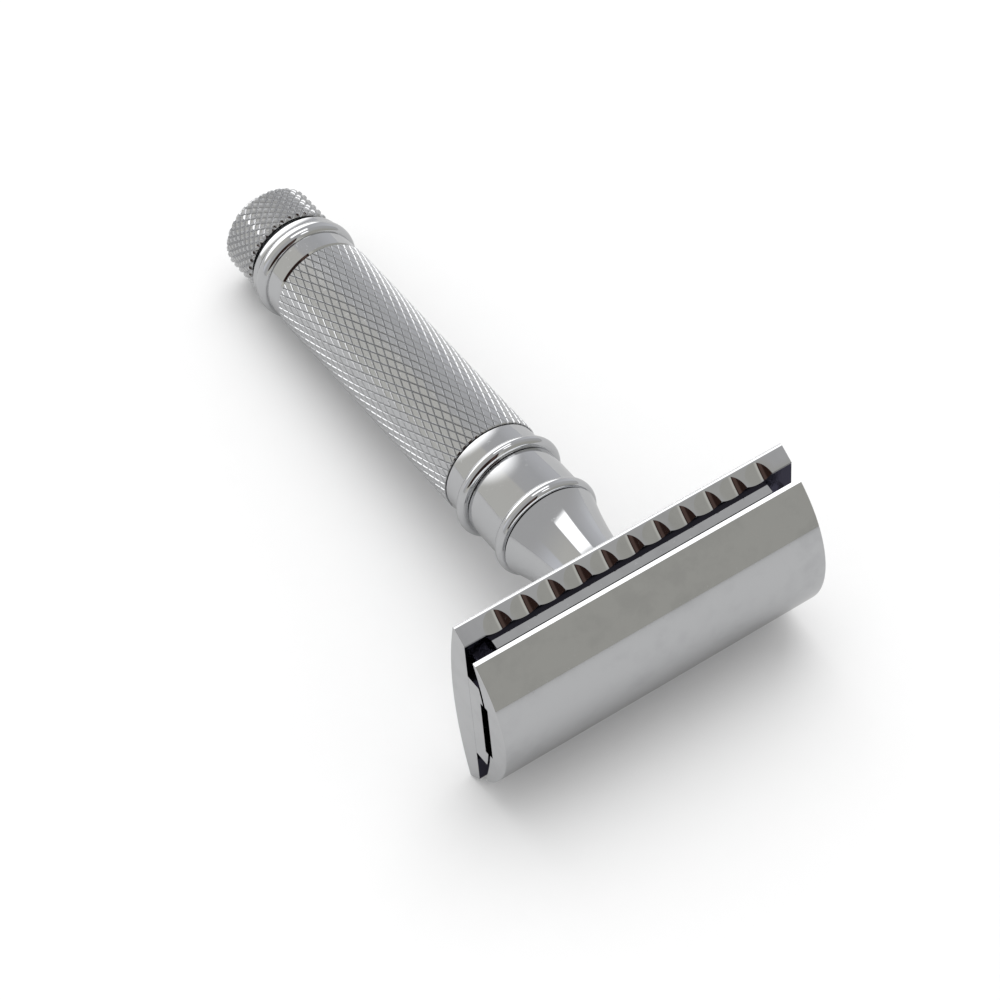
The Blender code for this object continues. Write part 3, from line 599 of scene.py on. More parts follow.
def knurl_tree():
    """Raised diamonds in staggered rows, wrapped round the handle's axis."""
    tree = bpy.data.node_groups.new("knurled sleeve", "GeometryNodeTree")
    wanted = [
        ("Starts", "NodeSocketInt"),
        ("Rows", "NodeSocketInt"),
        ("Radius", "NodeSocketFloat"),
        ("Diamond Length", "NodeSocketFloat"),
        ("Groove Depth", "NodeSocketFloat"),
        ("Land", "NodeSocketFloat"),
        ("Middle Height", "NodeSocketFloat"),
        ("Material", "NodeSocketMaterial"),
    ]
    for label, kind in wanted:
        tree.interface.new_socket(label, in_out="INPUT", socket_type=kind)
    tree.interface.new_socket("Mesh", in_out="OUTPUT", socket_type="NodeSocketGeometry")
    start = tree.nodes.new("NodeGroupInput")
    end = tree.nodes.new("NodeGroupOutput")
    sizes = start.outputs
    around = calculate(tree, "MULTIPLY", sizes["Radius"], 2 * math.pi)
    width = calculate(tree, "DIVIDE", around, sizes["Starts"])

    diamond = tree.nodes.new("GeometryNodeMeshCircle")
    diamond.fill_type = "NGON"
    diamond.inputs["Vertices"].default_value = 4
    diamond.inputs["Radius"].default_value = 0.5
    stretch = tree.nodes.new("ShaderNodeCombineXYZ")
    wire(tree, width, stretch.inputs["X"])
    wire(tree, sizes["Diamond Length"], stretch.inputs["Y"])
    stretch.inputs["Z"].default_value = 1.0
    shaped = tree.nodes.new("GeometryNodeTransform")
    wire(tree, diamond.outputs["Mesh"], shaped.inputs["Geometry"])
    wire(tree, stretch.outputs[0], shaped.inputs["Scale"])

    mesh = shaped.outputs["Geometry"]
    face = None
    reached_flank = 0.0
    reached_height = 0.0
    narrow = calculate(tree, "SUBTRACT", 1.0, sizes["Land"])
    for flank, height in DIAMOND_FLANK:
        grow = tree.nodes.new("GeometryNodeExtrudeMesh")
        grow.mode = "FACES"
        wire(tree, mesh, grow.inputs["Mesh"])
        if face is not None:
            wire(tree, face, grow.inputs["Selection"])
        rise = calculate(tree, "MULTIPLY", sizes["Groove Depth"], height - reached_height)
        wire(tree, rise, grow.inputs["Offset Scale"])
        face = grow.outputs["Top"]
        target = calculate(tree, "SUBTRACT", 1.0, calculate(tree, "MULTIPLY", narrow, flank))
        before = calculate(tree, "SUBTRACT", 1.0, calculate(tree, "MULTIPLY", narrow, reached_flank))
        factor = calculate(tree, "DIVIDE", target, before)
        shrink = tree.nodes.new("GeometryNodeScaleElements")
        shrink.domain = "FACE"
        wire(tree, grow.outputs["Mesh"], shrink.inputs["Geometry"])
        wire(tree, face, shrink.inputs["Selection"])
        wire(tree, factor, shrink.inputs["Scale"])
        mesh = shrink.outputs["Geometry"]
        reached_flank = flank
        reached_height = height

    row_gaps = calculate(tree, "SUBTRACT", sizes["Rows"], 1)
    tall = calculate(tree, "MULTIPLY", row_gaps, sizes["Diamond Length"])
    wide = calculate(tree, "MULTIPLY", calculate(tree, "SUBTRACT", sizes["Starts"], 1), width)
    grids = []
    for _ in range(2):
        grid = tree.nodes.new("GeometryNodeMeshGrid")
        wire(tree, wide, grid.inputs["Size X"])
        wire(tree, tall, grid.inputs["Size Y"])
        wire(tree, sizes["Starts"], grid.inputs["Vertices X"])
        wire(tree, sizes["Rows"], grid.inputs["Vertices Y"])
        grids.append(grid.outputs["Mesh"])
    half_step = tree.nodes.new("ShaderNodeCombineXYZ")
    wire(tree, calculate(tree, "MULTIPLY", width, 0.5), half_step.inputs["X"])
    wire(tree, calculate(tree, "MULTIPLY", sizes["Diamond Length"], 0.5), half_step.inputs["Y"])
    staggered = tree.nodes.new("GeometryNodeTransform")
    wire(tree, grids[1], staggered.inputs["Geometry"])
    wire(tree, half_step.outputs[0], staggered.inputs["Translation"])
    rows = tree.nodes.new("GeometryNodeJoinGeometry")
    wire(tree, grids[0], rows.inputs[0])
    wire(tree, staggered.outputs["Geometry"], rows.inputs[0])
    spread = tree.nodes.new("GeometryNodeInstanceOnPoints")
    wire(tree, rows.outputs[0], spread.inputs["Points"])
    wire(tree, mesh, spread.inputs["Instance"])
    real = tree.nodes.new("GeometryNodeRealizeInstances")
    wire(tree, spread.outputs[0], real.inputs[0])

    position = tree.nodes.new("GeometryNodeInputPosition")
    split = tree.nodes.new("ShaderNodeSeparateXYZ")
    wire(tree, position.outputs[0], split.inputs[0])
    angle = calculate(tree, "DIVIDE", split.outputs["X"], sizes["Radius"])
    root = calculate(tree, "SUBTRACT", sizes["Radius"], sizes["Groove Depth"])
    reach = calculate(tree, "ADD", root, split.outputs["Z"])
    wrapped = tree.nodes.new("ShaderNodeCombineXYZ")
    wire(tree, calculate(tree, "MULTIPLY", reach, calculate(tree, "COSINE", angle)), wrapped.inputs["X"])
    wire(tree, calculate(tree, "MULTIPLY", reach, calculate(tree, "SINE", angle)), wrapped.inputs["Y"])
    wire(tree, calculate(tree, "ADD", split.outputs["Y"], sizes["Middle Height"]), wrapped.inputs["Z"])
    wrap = tree.nodes.new("GeometryNodeSetPosition")
    wire(tree, real.outputs[0], wrap.inputs["Geometry"])
    wire(tree, wrapped.outputs[0], wrap.inputs["Position"])
    sewn = tree.nodes.new("GeometryNodeMergeByDistance")
    sewn.inputs["Distance"].default_value = 2 * WELD
    wire(tree, wrap.outputs[0], sewn.inputs["Geometry"])
    coated = tree.nodes.new("GeometryNodeSetMaterial")
    wire(tree, sewn.outputs[0], coated.inputs["Geometry"])
    wire(tree, sizes["Material"], coated.inputs["Material"])
    wire(tree, coated.outputs[0], end.inputs["Mesh"])
    return tree


def knurled_wall(name, material, reach, radius, starts, pitch, depth, land, spare_rows):
    """A mesh of the knurled wall alone, open at both ends and longer than the piece.

    reach is the piece's lowest and highest height.
    """
    low, high = reach
    values = {
        "Starts": starts,
        "Rows": math.ceil((high - low) / pitch) + spare_rows,
        "Radius": radius,
        "Diamond Length": pitch,
        "Groove Depth": depth,
        "Land": land,
        "Middle Height": (low + high) / 2,
        "Material": material,
    }
    tree = bpy.data.node_groups.get("knurled sleeve") or knurl_tree()
    piece = bpy.data.objects.new(name, bpy.data.meshes.new(name))
    bpy.context.scene.collection.objects.link(piece)
    modifier = piece.modifiers.new("knurling", "NODES")
    modifier.node_group = tree
    for item in tree.interface.items_tree:
        if item.in_out == "INPUT":
            modifier[item.identifier] = values[item.name]
    mesh = evaluated_mesh(piece)
    bpy.data.objects.remove(piece)
    return mesh


def knurled_sleeve(name, wall, low, high, radius, chamfers, inner):
    """Cut the knurled wall to length, chamfer it, and close it round an inner outline.

    chamfers are (at the low end, at the high end). inner is (radius, height) points from the low
    end to the high end.
    """
    builder = bmesh.new()
    builder.from_mesh(wall)
    low_chamfer, high_chamfer = chamfers
    cuts = [(low, -1), (high, 1), (low + low_chamfer, 0), (high - high_chamfer, 0)]
    for height, side in cuts:
        everything = list(builder.verts) + list(builder.edges) + list(builder.faces)
        bmesh.ops.bisect_plane(
            builder,
            geom=everything,
            dist=1e-8,
            plane_co=(0, 0, height),
            plane_no=(0, 0, 1),
            clear_outer=side > 0,
            clear_inner=side < 0,
        )
    for vertex in builder.verts:
        from_low = vertex.co.z - low
        from_high = high - vertex.co.z
        limit = min(radius - low_chamfer + from_low, radius - high_chamfer + from_high)
        size = vertex.co.xy.length
        if size > limit:
            vertex.co.x *= limit / size
            vertex.co.y *= limit / size
    bmesh.ops.remove_doubles(builder, verts=builder.verts, dist=WELD)
    rims = {}
    for edge in builder.edges:
        if edge.is_boundary:
            rims.setdefault(edge.verts[0].co.z > (low + high) / 2, []).append(edge)
    rings = []
    for ring_radius, height in inner:
        ring = []
        for step in range(SLEEVE_STEPS):
            angle = 2 * math.pi * step / SLEEVE_STEPS
            place = (ring_radius * math.cos(angle), ring_radius * math.sin(angle), height)
            ring.append(builder.verts.new(place))
        rings.append(ring)
    for lower, upper in zip(rings, rings[1:]):
        for step in range(SLEEVE_STEPS):
            following = (step + 1) % SLEEVE_STEPS
            builder.faces.new((lower[step], upper[step], upper[following], lower[following]))
    for ring, upper_end in ((rings[0], False), (rings[-1], True)):
        edges = []
        for step in range(SLEEVE_STEPS):
            pair = (ring[step], ring[(step + 1) % SLEEVE_STEPS])
            edges.append(builder.edges.get(pair) or builder.edges.new(pair))
        bmesh.ops.triangle_fill(
            builder, edges=rims[upper_end] + edges, use_beauty=True, use_dissolve=False, normal=(0, 0, 1)
        )
    return finished(builder, name, SLEEVE_SHARP)


# ---------------------------------------------------------------- pieces


def plate_outline(size):
    """Section of the guard plate: bellied underside, guard bars, floors and blade bed."""
    corner = (size.guard_half_span, 0.0)
    land = (size.land_half_span, size.land_height)
    lip = (size.lip_half_span, size.lip_height)
    belly = crown(size.guard_half_span - size.guard_edge_radius, 0.0, -size.belly, 40)
    edge = eased([(*belly[-2], 0.0), (*corner, size.guard_edge_radius), (*land, 0.0)], 10)[1:-1]
    right = edge + [land, lip, (size.lip_half_span - size.lip_width, size.floor_height)]
    right.append((size.bed_foot, size.floor_height))
    left = [(-y, z) for y, z in reversed(right)]
    bed = crown(size.bed_half_width, size.bed_edge_height, size.bed_crown_height, 32)
    return belly[1:-1] + right + list(reversed(bed)) + left


def scallop_cutters(size):
    """Shallow domes for both guard bars, one for each scallop, stretched along the bar's face."""
    half, depth = size.scallop_half_width, size.scallop_depth
    radius = (half**2 + depth**2) / (2 * depth)
    sweep = math.degrees(math.acos(1 - (depth + SCALLOP_OVERRUN) / radius))
    outline = arc((0.0, radius - depth), radius, -90, -90 + sweep, 16)
    dome = turned("scallop", outline + [(0.0, SCALLOP_OVERRUN)], 96)
    lip = Vector((0, size.lip_half_span, size.lip_height))
    land = Vector((0, size.land_half_span, size.land_height))
    along = (lip - land).normalized()
    across = Vector((1, 0, 0))
    out = along.cross(across)
    turn = Matrix((across, along, out)).transposed().to_4x4()
    stretch = Matrix.Diagonal((1, (size.scallop_reach + size.scallop_centre) / half, 1, 1))
    middle = lip + along * size.scallop_centre
    places = []
    for side in (1, -1):
        for index in range(size.scallop_count):
            x = (index - (size.scallop_count - 1) / 2) * size.scallop_pitch
            place = Matrix.Translation(middle + across * x) @ turn @ stretch
            places.append(Matrix.Diagonal((1, side, 1, 1)) @ place)
    return copies("scallop_cutters", dome, places)


def corner_cutters(size):
    """Cutters that narrow the blade bed at both ends of the head."""
    inner_x = size.bed_length / 2
    inner_y = size.bed_end_half_width
    outer_x = size.plate_length / 2 + CUT_OVERRUN
    outer_y = size.bed_foot + CORNER_OVERRUN
    corner = size.bed_corner
    outline = eased(
        [
            (inner_x, outer_y, 0.0),
            (inner_x, size.bed_half_width - corner, corner * 0.8),
            (inner_x + corner * 0.4, inner_y + corner * 0.5, corner * 0.3),
            (inner_x + corner, inner_y, corner * 0.4),
            (outer_x, inner_y, 0.0),
            (outer_x, outer_y, 0.0),
        ]
    )
    block = drawn("corner", outline, size.floor_height, size.bed_crown_height + CUT_OVERRUN)
    flips = [(1, 1), (-1, 1), (1, -1), (-1, -1)]
    return copies("corner_cutters", block, [Matrix.Diagonal((*flip, 1, 1)) for flip in flips])


def slot_cutters(size, name, low, high):
    """Cutters for the tab slots at both ends of the head, between two heights."""
    inner = size.plate_length / 2 - size.slot_depth
    outer = size.plate_length / 2 + CUT_OVERRUN
    half = size.slot_width / 2
    outline = [(inner, -half), (outer, -half), (outer, half), (inner, half)]
    block = drawn("slot", outline, low, high)
    return copies(name, block, [Matrix.Identity(4), Matrix.Rotation(math.pi, 4, "Z")])


def hole_cutters(size, name, radius, low, high):
    """Cutters for the holes of the two locating posts."""
    hole = turned(name, [(0, low), (radius, low), (radius, high), (0, high)], 48)
    places = [Matrix.Translation((side * size.post_spacing / 2, 0, 0)) for side in (-1, 1)]
    return copies(name, hole, places)


class RAZOR_OT_guard_plate(bpy.types.Operator):
    """Make the guard plate with its scalloped bars and blade bed"""

    bl_idname = "razor.guard_plate"
    bl_label = "Guard plate"

    def execute(self, context):
        size = context.scene.razor_head
        body = drawn(
            "guard_plate", plate_outline(size), -size.plate_length / 2, size.plate_length / 2, along_head=True
        )
        socket = socket_radius(context)
        low = -size.belly - CUT_OVERRUN
        high = size.bed_crown_height + CUT_OVERRUN
        stud = stud_radius() + CLEARANCE
        shoulder = span("neck")[1] + CLEARANCE
        outline = [(0, low), (socket, low), (socket, shoulder), (stud, shoulder), (stud, high), (0, high)]
        post = post_radius() + CLEARANCE
        mesh = carved(
            "guard_plate",
            body,
            [
                (scallop_cutters(size), True),
                (corner_cutters(size), False),
                (slot_cutters(size, "plate_slots", size.slot_floor, high), False),
                (turned("neck_socket", outline, 96), False),
                (hole_cutters(size, "post_holes", post, low, high), False),
            ],
            size.edge_chamfer,
        )
        fit_in("guard_plate", mesh, finish_of("head chrome"), "handle", ["base_plate"])
        return {"FINISHED"}


def socket_radius(context):
    """Radius of the plate's socket round the neck."""
    return context.scene.razor_handle.neck_top_radius + TOUCH


def stud_radius():
    """Radius of the cap's stud."""
    return span("cap_stud")[2]


def post_radius():
    """Radius of a locating post."""
    low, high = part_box("cap_post_left")
    return (high.x - low.x) / 2


class RAZOR_OT_cap(bpy.types.Operator):
    """Make the domed cap"""

    bl_idname = "razor.cap"
    bl_label = "Cap"

    def execute(self, context):
        size = context.scene.razor_head
        top = crown(size.cap_crown_half, size.cap_edge_height, size.cap_edge_height + size.cap_rise, 96)
        low_edge = size.bed_edge_height + size.blade_gap
        inside_half = size.cap_half_width - CAP_RIM
        inside = crown(inside_half, low_edge, size.bed_crown_height + size.blade_gap, 48)
        outline = top + [(size.cap_half_width, low_edge)] + list(reversed(inside))
        outline.append((-size.cap_half_width, low_edge))
        body = drawn("cap", outline, -size.cap_length / 2, size.cap_length / 2, along_head=True)
        low = size.bed_edge_height - CUT_OVERRUN
        seat = size.bed_crown_height + size.blade_gap + CUT_OVERRUN
        stud = turned("stud_seat", [(0, low), (stud_radius(), low), (stud_radius(), seat), (0, seat)], 64)
        mesh = carved(
            "domed_cap",
            body,
            [
                (slot_cutters(size, "cap_slots", low, size.slot_ceiling), False),
                (stud, False),
                (hole_cutters(size, "post_seats", post_radius(), low, seat), False),
            ],
            size.edge_chamfer,
        )
        fit_in("domed_cap", mesh, finish_of("head chrome"), "cap", ["cap"])
        return {"FINISHED"}


THREAD_CREST = 1.25  # a thread's section: above 1 it is cut flat
THREAD_FLANK = 3.0  # and it falls by this much in one pitch
THREAD_DEPTH = 0.28 * MM
STUD_CHAMFER = 0.5 * MM
POST_ROUNDING = 0.5 * MM
POST_TOP_ROUNDING = 0.05 * MM


def threaded(name, radius, depth, pitch, low, high, chamfer, steps=48, rows=8):
    """A threaded stud with a chamfered end, closed at both ends."""
    builder = bmesh.new()
    count = round((high - low) / pitch * rows)
    rings = []
    for row in range(count + 1):
        height = low + (high - low) * row / count
        ring = []
        for step in range(steps):
            angle = 2 * math.pi * step / steps
            phase = (height / pitch - step / steps) % 1.0
            crest = min(1.0, max(0.0, THREAD_CREST - THREAD_FLANK * abs(phase - 0.5)))
            size = min(radius - depth * (1 - crest), radius - chamfer + (height - low))
            ring.append(builder.verts.new((size * math.cos(angle), size * math.sin(angle), height)))
        rings.append(ring)
    for lower, upper in zip(rings, rings[1:]):
        for step in range(steps):
            following = (step + 1) % steps
            builder.faces.new((lower[step], lower[following], upper[following], upper[step]))
    builder.faces.new(list(reversed(rings[0])))
    builder.faces.new(rings[-1])
    return finished(builder, name, 60.0)


class RAZOR_OT_cap_fixings(bpy.types.Operator):
    """Make the cap's threaded stud and its two locating posts"""

    bl_idname = "razor.cap_fixings"
    bl_label = "Cap stud and posts"

    def execute(self, context):
        knurl = context.scene.razor_knurl
        low, high, radius = span("cap_stud")
        pitch = knurl.thread_pitch
        stud = threaded("threaded_stud", radius, THREAD_DEPTH, pitch, low, high, STUD_CHAMFER)
        fit_in("threaded_stud", stud, finish_of("machined brass"), "cap", ["cap_stud"])
        for node in ("cap_post_left", "cap_post_right"):
            low, high, _ = span(node)
            post = post_radius()
            tip = (post, low, POST_ROUNDING)
            outline = eased([(0, low, 0), tip, (post, high, POST_TOP_ROUNDING), (0, high, 0)])
            mesh = turned(node, outline, 48)
            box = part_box(node)
            mesh.transform(Matrix.Translation(((box[0].x + box[1].x) / 2, 0, 0)))
            fit_in("turned_" + node, mesh, finish_of("machined steel"), "cap", [node])
        return {"FINISHED"}


class RAZOR_OT_neck(bpy.types.Operator):
    """Make the waisted neck"""

    bl_idname = "razor.neck"
    bl_label = "Neck"

    def execute(self, context):
        size = context.scene.razor_handle
        low, high, _ = span("neck")
        shoulder = low + size.spigot
        spigot = size.bore - SPIGOT_EASE
        outline = [(size.neck_bore, low), (spigot, low), (spigot, shoulder)]
        top = -context.scene.razor_head.belly
        steps = 32
        widening = size.neck_base_radius - size.neck_top_radius
        outline.append((size.neck_base_radius - FINE_EDGE, shoulder))
        for step in range(steps + 1):
            share = step / steps
            radius = size.neck_top_radius + widening * (1 - share) ** size.neck_flare
            outline.append((radius, shoulder + FINE_EDGE + share * (top - shoulder - FINE_EDGE)))
        outline += [(size.neck_top_radius, high), (size.neck_bore, high)]
        mesh = turned("waisted_neck", outline, 160, 35.0)
        fit_in("waisted_neck", mesh, finish_of("turned chrome"), "handle", ["neck"])
        return {"FINISHED"}


def beaded_outline(size, radius, bead_radius, low, high):
    """A plain ring with a half-round bead at its head end."""
    root = radius + TOUCH
    outline = eased([(size.bore, low, 0), (radius, low, FINE_EDGE), (radius, high - size.bead_width, 0.0)])
    bead = arc((0, 0), 1.0, -90, 90, 18)
    middle = high - size.bead_width / 2
    for across, along in bead:
        outline.append((root + (bead_radius - root) * across, middle + along * size.bead_width / 2))
    outline.append((size.bore, high))
    return outline


class RAZOR_OT_collar(bpy.types.Operator):
    """Make the collar: the plain band and the plain ring, each with a bead"""

    bl_idname = "razor.collar"
    bl_label = "Collar"

    def execute(self, context):
        size = context.scene.razor_handle
        for name, node, radius in (
            ("plain_band", "collar_band", size.band_radius),
            ("plain_ring", "collar_ring", size.ring_radius),
        ):
            low, high, bead = span(node)
            outline = beaded_outline(size, radius, bead, low, high + size.seam)
            mesh = turned(name, outline, 160)
            fit_in(name, mesh, finish_of("turned chrome"), "handle", [node])
        return {"FINISHED"}


class RAZOR_OT_grip(bpy.types.Operator):
    """Make the knurled grip"""

    bl_idname = "razor.grip"
    bl_label = "Knurled grip"

    def execute(self, context):
        size = context.scene.razor_knurl
        low, high, radius = span("barrel")
        high += context.scene.razor_handle.seam
        material = finish_of("grip chrome")
        wall = knurled_wall(
            "grip_wall",
            material,
            (low, high),
            radius,
            size.grip_starts,
            size.grip_pitch,
            size.grip_depth,
            size.grip_land,
            spare_rows=2,
        )
        bore = context.scene.razor_handle.bore
        mesh = knurled_sleeve(
            "knurled_grip", wall, low, high, radius, GRIP_CHAMFERS, [(bore, low), (bore, high)]
        )
        fit_in("knurled_grip", mesh, material, "handle", ["barrel"])
        return {"FINISHED"}


class RAZOR_OT_ferrule(bpy.types.Operator):
    """Make the end ferrule"""

    bl_idname = "razor.ferrule"
    bl_label = "End ferrule"

    def execute(self, context):
        size = context.scene.razor_handle
        low, high, bead_radius = span("end_ferrule")
        shoulder = high - size.spigot + size.seam
        lip_top = low + size.ferrule_lip
        bead_top = lip_top + size.ferrule_bead_width
        radius = size.ferrule_radius
        spigot = size.bore - SPIGOT_EASE
        outline = eased(
            [
                (size.ferrule_bore, low, 0),
                (radius + size.chamfer, low, FERRULE_ROUNDING),
                (radius + size.chamfer, lip_top, 0.0),
            ]
        )
        middle = (lip_top + bead_top) / 2
        half = (bead_top - lip_top) / 2
        for across, along in arc((0, 0), 1.0, -90, 90, 20):
            outline.append((radius + (bead_radius - radius) * across, middle + along * half))
        outline += [
            (radius, bead_top + TOUCH),
            (radius, shoulder - size.chamfer),
            (radius - size.chamfer, shoulder),
            (spigot, shoulder),
            (spigot, high),
            (size.ferrule_bore, high),
        ]
        mesh = turned("end_ring", outline, 160, 25.0)
        fit_in("end_ring", mesh, finish_of("turned chrome"), "handle", ["end_ferrule"])
        return {"FINISHED"}


class RAZOR_OT_knob(bpy.types.Operator):
    """Make the knurled knob and the plug in its end"""

    bl_idname = "razor.knob"
    bl_label = "Knob"

    def execute(self, context):
        size = context.scene.razor_knurl
        low, high, radius = span("knob")
        material = finish_of("knob chrome")
        wall = knurled_wall(
            "knob_wall",
            material,
            (low, high),
            radius,
            size.knob_starts,
            size.knob_pitch,
            size.knob_depth,
            size.knob_land,
            spare_rows=3,
        )
        plug_low, plug_high, plug = span("knob_plug")
        bore = context.scene.razor_handle.rod_bore
        recess = plug + RECESS_GAP
        shelf = plug_high + CLEARANCE
        mesh = knurled_sleeve(
            "knurled_knob",
            wall,
            low,
            high,
            radius,
            (size.knob_chamfer, KNOB_HEAD_CHAMFER),
            [(recess, low), (recess, shelf), (bore, shelf), (bore, high)],
        )
        fit_in("knurled_knob", mesh, material, "knob", ["knob"])
        edge = (plug, plug_low, FINE_EDGE)
        outline = eased([(0, plug_low, 0), edge, (plug, plug_high, 0), (0, plug_high, 0)])
        disc = turned("knob_disc", outline, 96)
        fit_in("knob_disc", disc, finish_of("turned chrome"), "knob", ["knob_plug"])
        return {"FINISHED"}


class RAZOR_OT_inner_works(bpy.types.Operator):
    """Give the rod, nut, pin, clip, washers and bushes their machined finishes"""

    bl_idname = "razor.inner_works"
    bl_label = "Inner works"

    def execute(self, context):
        finishes = {
            "machined brass": ("draw_nut", "upper_bush", "lower_bush"),
            "machined steel": ("draw_rod", "nut_pin", "retaining_clip", "thrust_washer", "knob_washer"),
        }
        for finish, nodes in finishes.items():
            for node in nodes:
                mesh = frame["nodes"][node].data
                mesh.materials.clear()
                mesh.materials.append(finish_of(finish))
        return {"FINISHED"}


FINISHES = {}

# Metal, polish, roughness of a full smudge, roughness of the lines, and their depth in metres.
POLISHES = {
    "head chrome": ("chrome", 0.035, 0.02, 0.03, 0.15e-6),
    "turned chrome": ("chrome", 0.04, 0.02, 0.04, 0.1e-6),
    "grip chrome": ("chrome", 0.1, 0.06, 0.05, 0.2e-6),
    "knob chrome": ("chrome", 0.05, 0.03, 0.03, 0.2e-6),
    "machined brass": ("brass", 0.22, 0.12, 0.1, 1.5e-6),
    "machined steel": ("steel", 0.25, 0.12, 0.1, 1.5e-6),
}
# Painted shade in the knurled grooves of the grip and the knob: their chrome is painted darker the deeper it
# lies.
GRIP_GROOVE_PAINTED_SHADE = 0.6  # how dark a groove's chrome is painted, against the plain chrome: painted shade
KNOB_GROOVE_PAINTED_SHADE = 0.8


def finish_of(name):
    """A finish by name, made the first time that it is asked for."""
    if name not in FINISHES:
        knurl = bpy.context.scene.razor_knurl
        extras = {
            "head chrome": {"turned_part": False, "floor": bpy.context.scene.razor_head.floor_height},
            "grip chrome": {"groove": (span("barrel")[2], knurl.grip_depth, GRIP_GROOVE_PAINTED_SHADE)},
            "knob chrome": {"groove": (span("knob")[2], knurl.knob_depth, KNOB_GROOVE_PAINTED_SHADE)},
        }
        colour, *numbers = POLISHES[name]
        colour = tuple(getattr(bpy.context.scene.razor_finish, colour))
        FINISHES[name] = metal(name, colour, *numbers, **extras.get(name, {}))
    return FINISHES[name]


# ----------------------------------------------------------------- stage

CAMERA_PLACE = (-111.49 * MM, 251.48 * MM, 170.99 * MM)
CAMERA_RIGHT = (0.82843, -0.06421, 0.55639)
CAMERA_DOWN = (-0.4546, -0.65735, 0.60102)
CAMERA_AHEAD = (0.32716, -0.75084, -0.57376)
CAMERA_LENS = 108.0
ROOM_COLOUR = (0.52, 0.52, 0.52)
FRONT_COLOUR = (0.46, 0.455, 0.42)
NEAR_FIGURE_COLOUR = (0.66, 0.65, 0.6)
SIDE_COLOURS = (
    (-1.0, (0.8, 0.81, 0.85)),
    (-0.84, (0.74, 0.75, 0.79)),
    (-0.8, (0.64, 0.635, 0.6)),
    (-0.16, (0.63, 0.62, 0.585)),
    (-0.08, (0.54, 0.54, 0.54)),
    (0.5, (0.53, 0.535, 0.545)),
    (0.85, (0.66, 0.665, 0.69)),
    (1.0, (0.85, 0.87, 0.9)),
)
FIGURE_COLOUR = (0.03, 0.016, 0.013)
STREAK_COLOUR = (0.1, 0.065, 0.055)
WALL_COLOUR = (2.2, 2.2, 2.2)
AMBIENT_COLOUR = (0.8, 0.8, 0.8)
REFLECTED_TABLE_SHADE = 0.68  # painted shade: how bright the table looks in the metal, against its own colour, standing in for its shade in front of the head
TABLE_SIZE = 3.0
TABLE_SHADE = 0.8  # the mottle's darker colour, against the table's own
TABLE_MOTTLE = 0.02  # how far the mottle goes towards it
LIGHT_PLACE = (0.25, 0.38, 1.15)
LIGHT_SIZE = 1.2
LIGHT_POWER = 8.0

# Edges of what the metal reflects, as directions: each pair runs from nothing to full.
SIDES_FROM = (0.15, 0.4)
FRONT_FROM = (-0.1, -0.5)
FRONT_TOP = (0.82, 0.74)
NEAR_FIGURE_TO = (0.12, 0.28)
FIGURE_RIGHT = (0.085, 0.05)
FIGURE_BACK = (-0.25, -0.4)
FIGURE_FOOT = (0.12, 0.17)
STREAK_RIGHT = (0.02, -0.02)
STREAK_LEFT = (-0.26, -0.14)
LAMP_EDGES = ((0.2, 0.27), (0.5, 0.44), (-0.25, -0.2), (-0.02, -0.06))
PANEL_EDGES = ((-0.12, -0.06), (0.52, 0.46), (0.19, 0.23), (0.48, 0.42))
LAMP_FOOT = (0.6, 0.7)
WALL_FROM = (0.72, 0.8)


def add_camera():
    """The camera, turned as seen from the handle's frame."""
    data = bpy.data.cameras.new("camera")
    data.lens = CAMERA_LENS
    data.clip_start = 0.01
    camera = bpy.data.objects.new("camera", data)
    bpy.context.scene.collection.objects.link(camera)
    right = Vector(CAMERA_RIGHT)
    down = Vector(CAMERA_DOWN)
    ahead = Vector(CAMERA_AHEAD)
    turn = Matrix((right, -down, -ahead)).transposed().to_4x4()
    place = Matrix.Translation(CAMERA_PLACE)
    camera.matrix_world = HANDLE @ place @ turn
    bpy.context.scene.camera = camera


def lit_patch(tree, x, y, edges):
    """A mask of a lamp overhead, from its left, right, near and far edges."""
    left, right, near, far = edges
    mask = calculate(tree, "MULTIPLY", remap(tree, x, *left), remap(tree, x, *right))
    mask = calculate(tree, "MULTIPLY", mask, remap(tree, y, *near))
    return calculate(tree, "MULTIPLY", mask, remap(tree, y, *far))


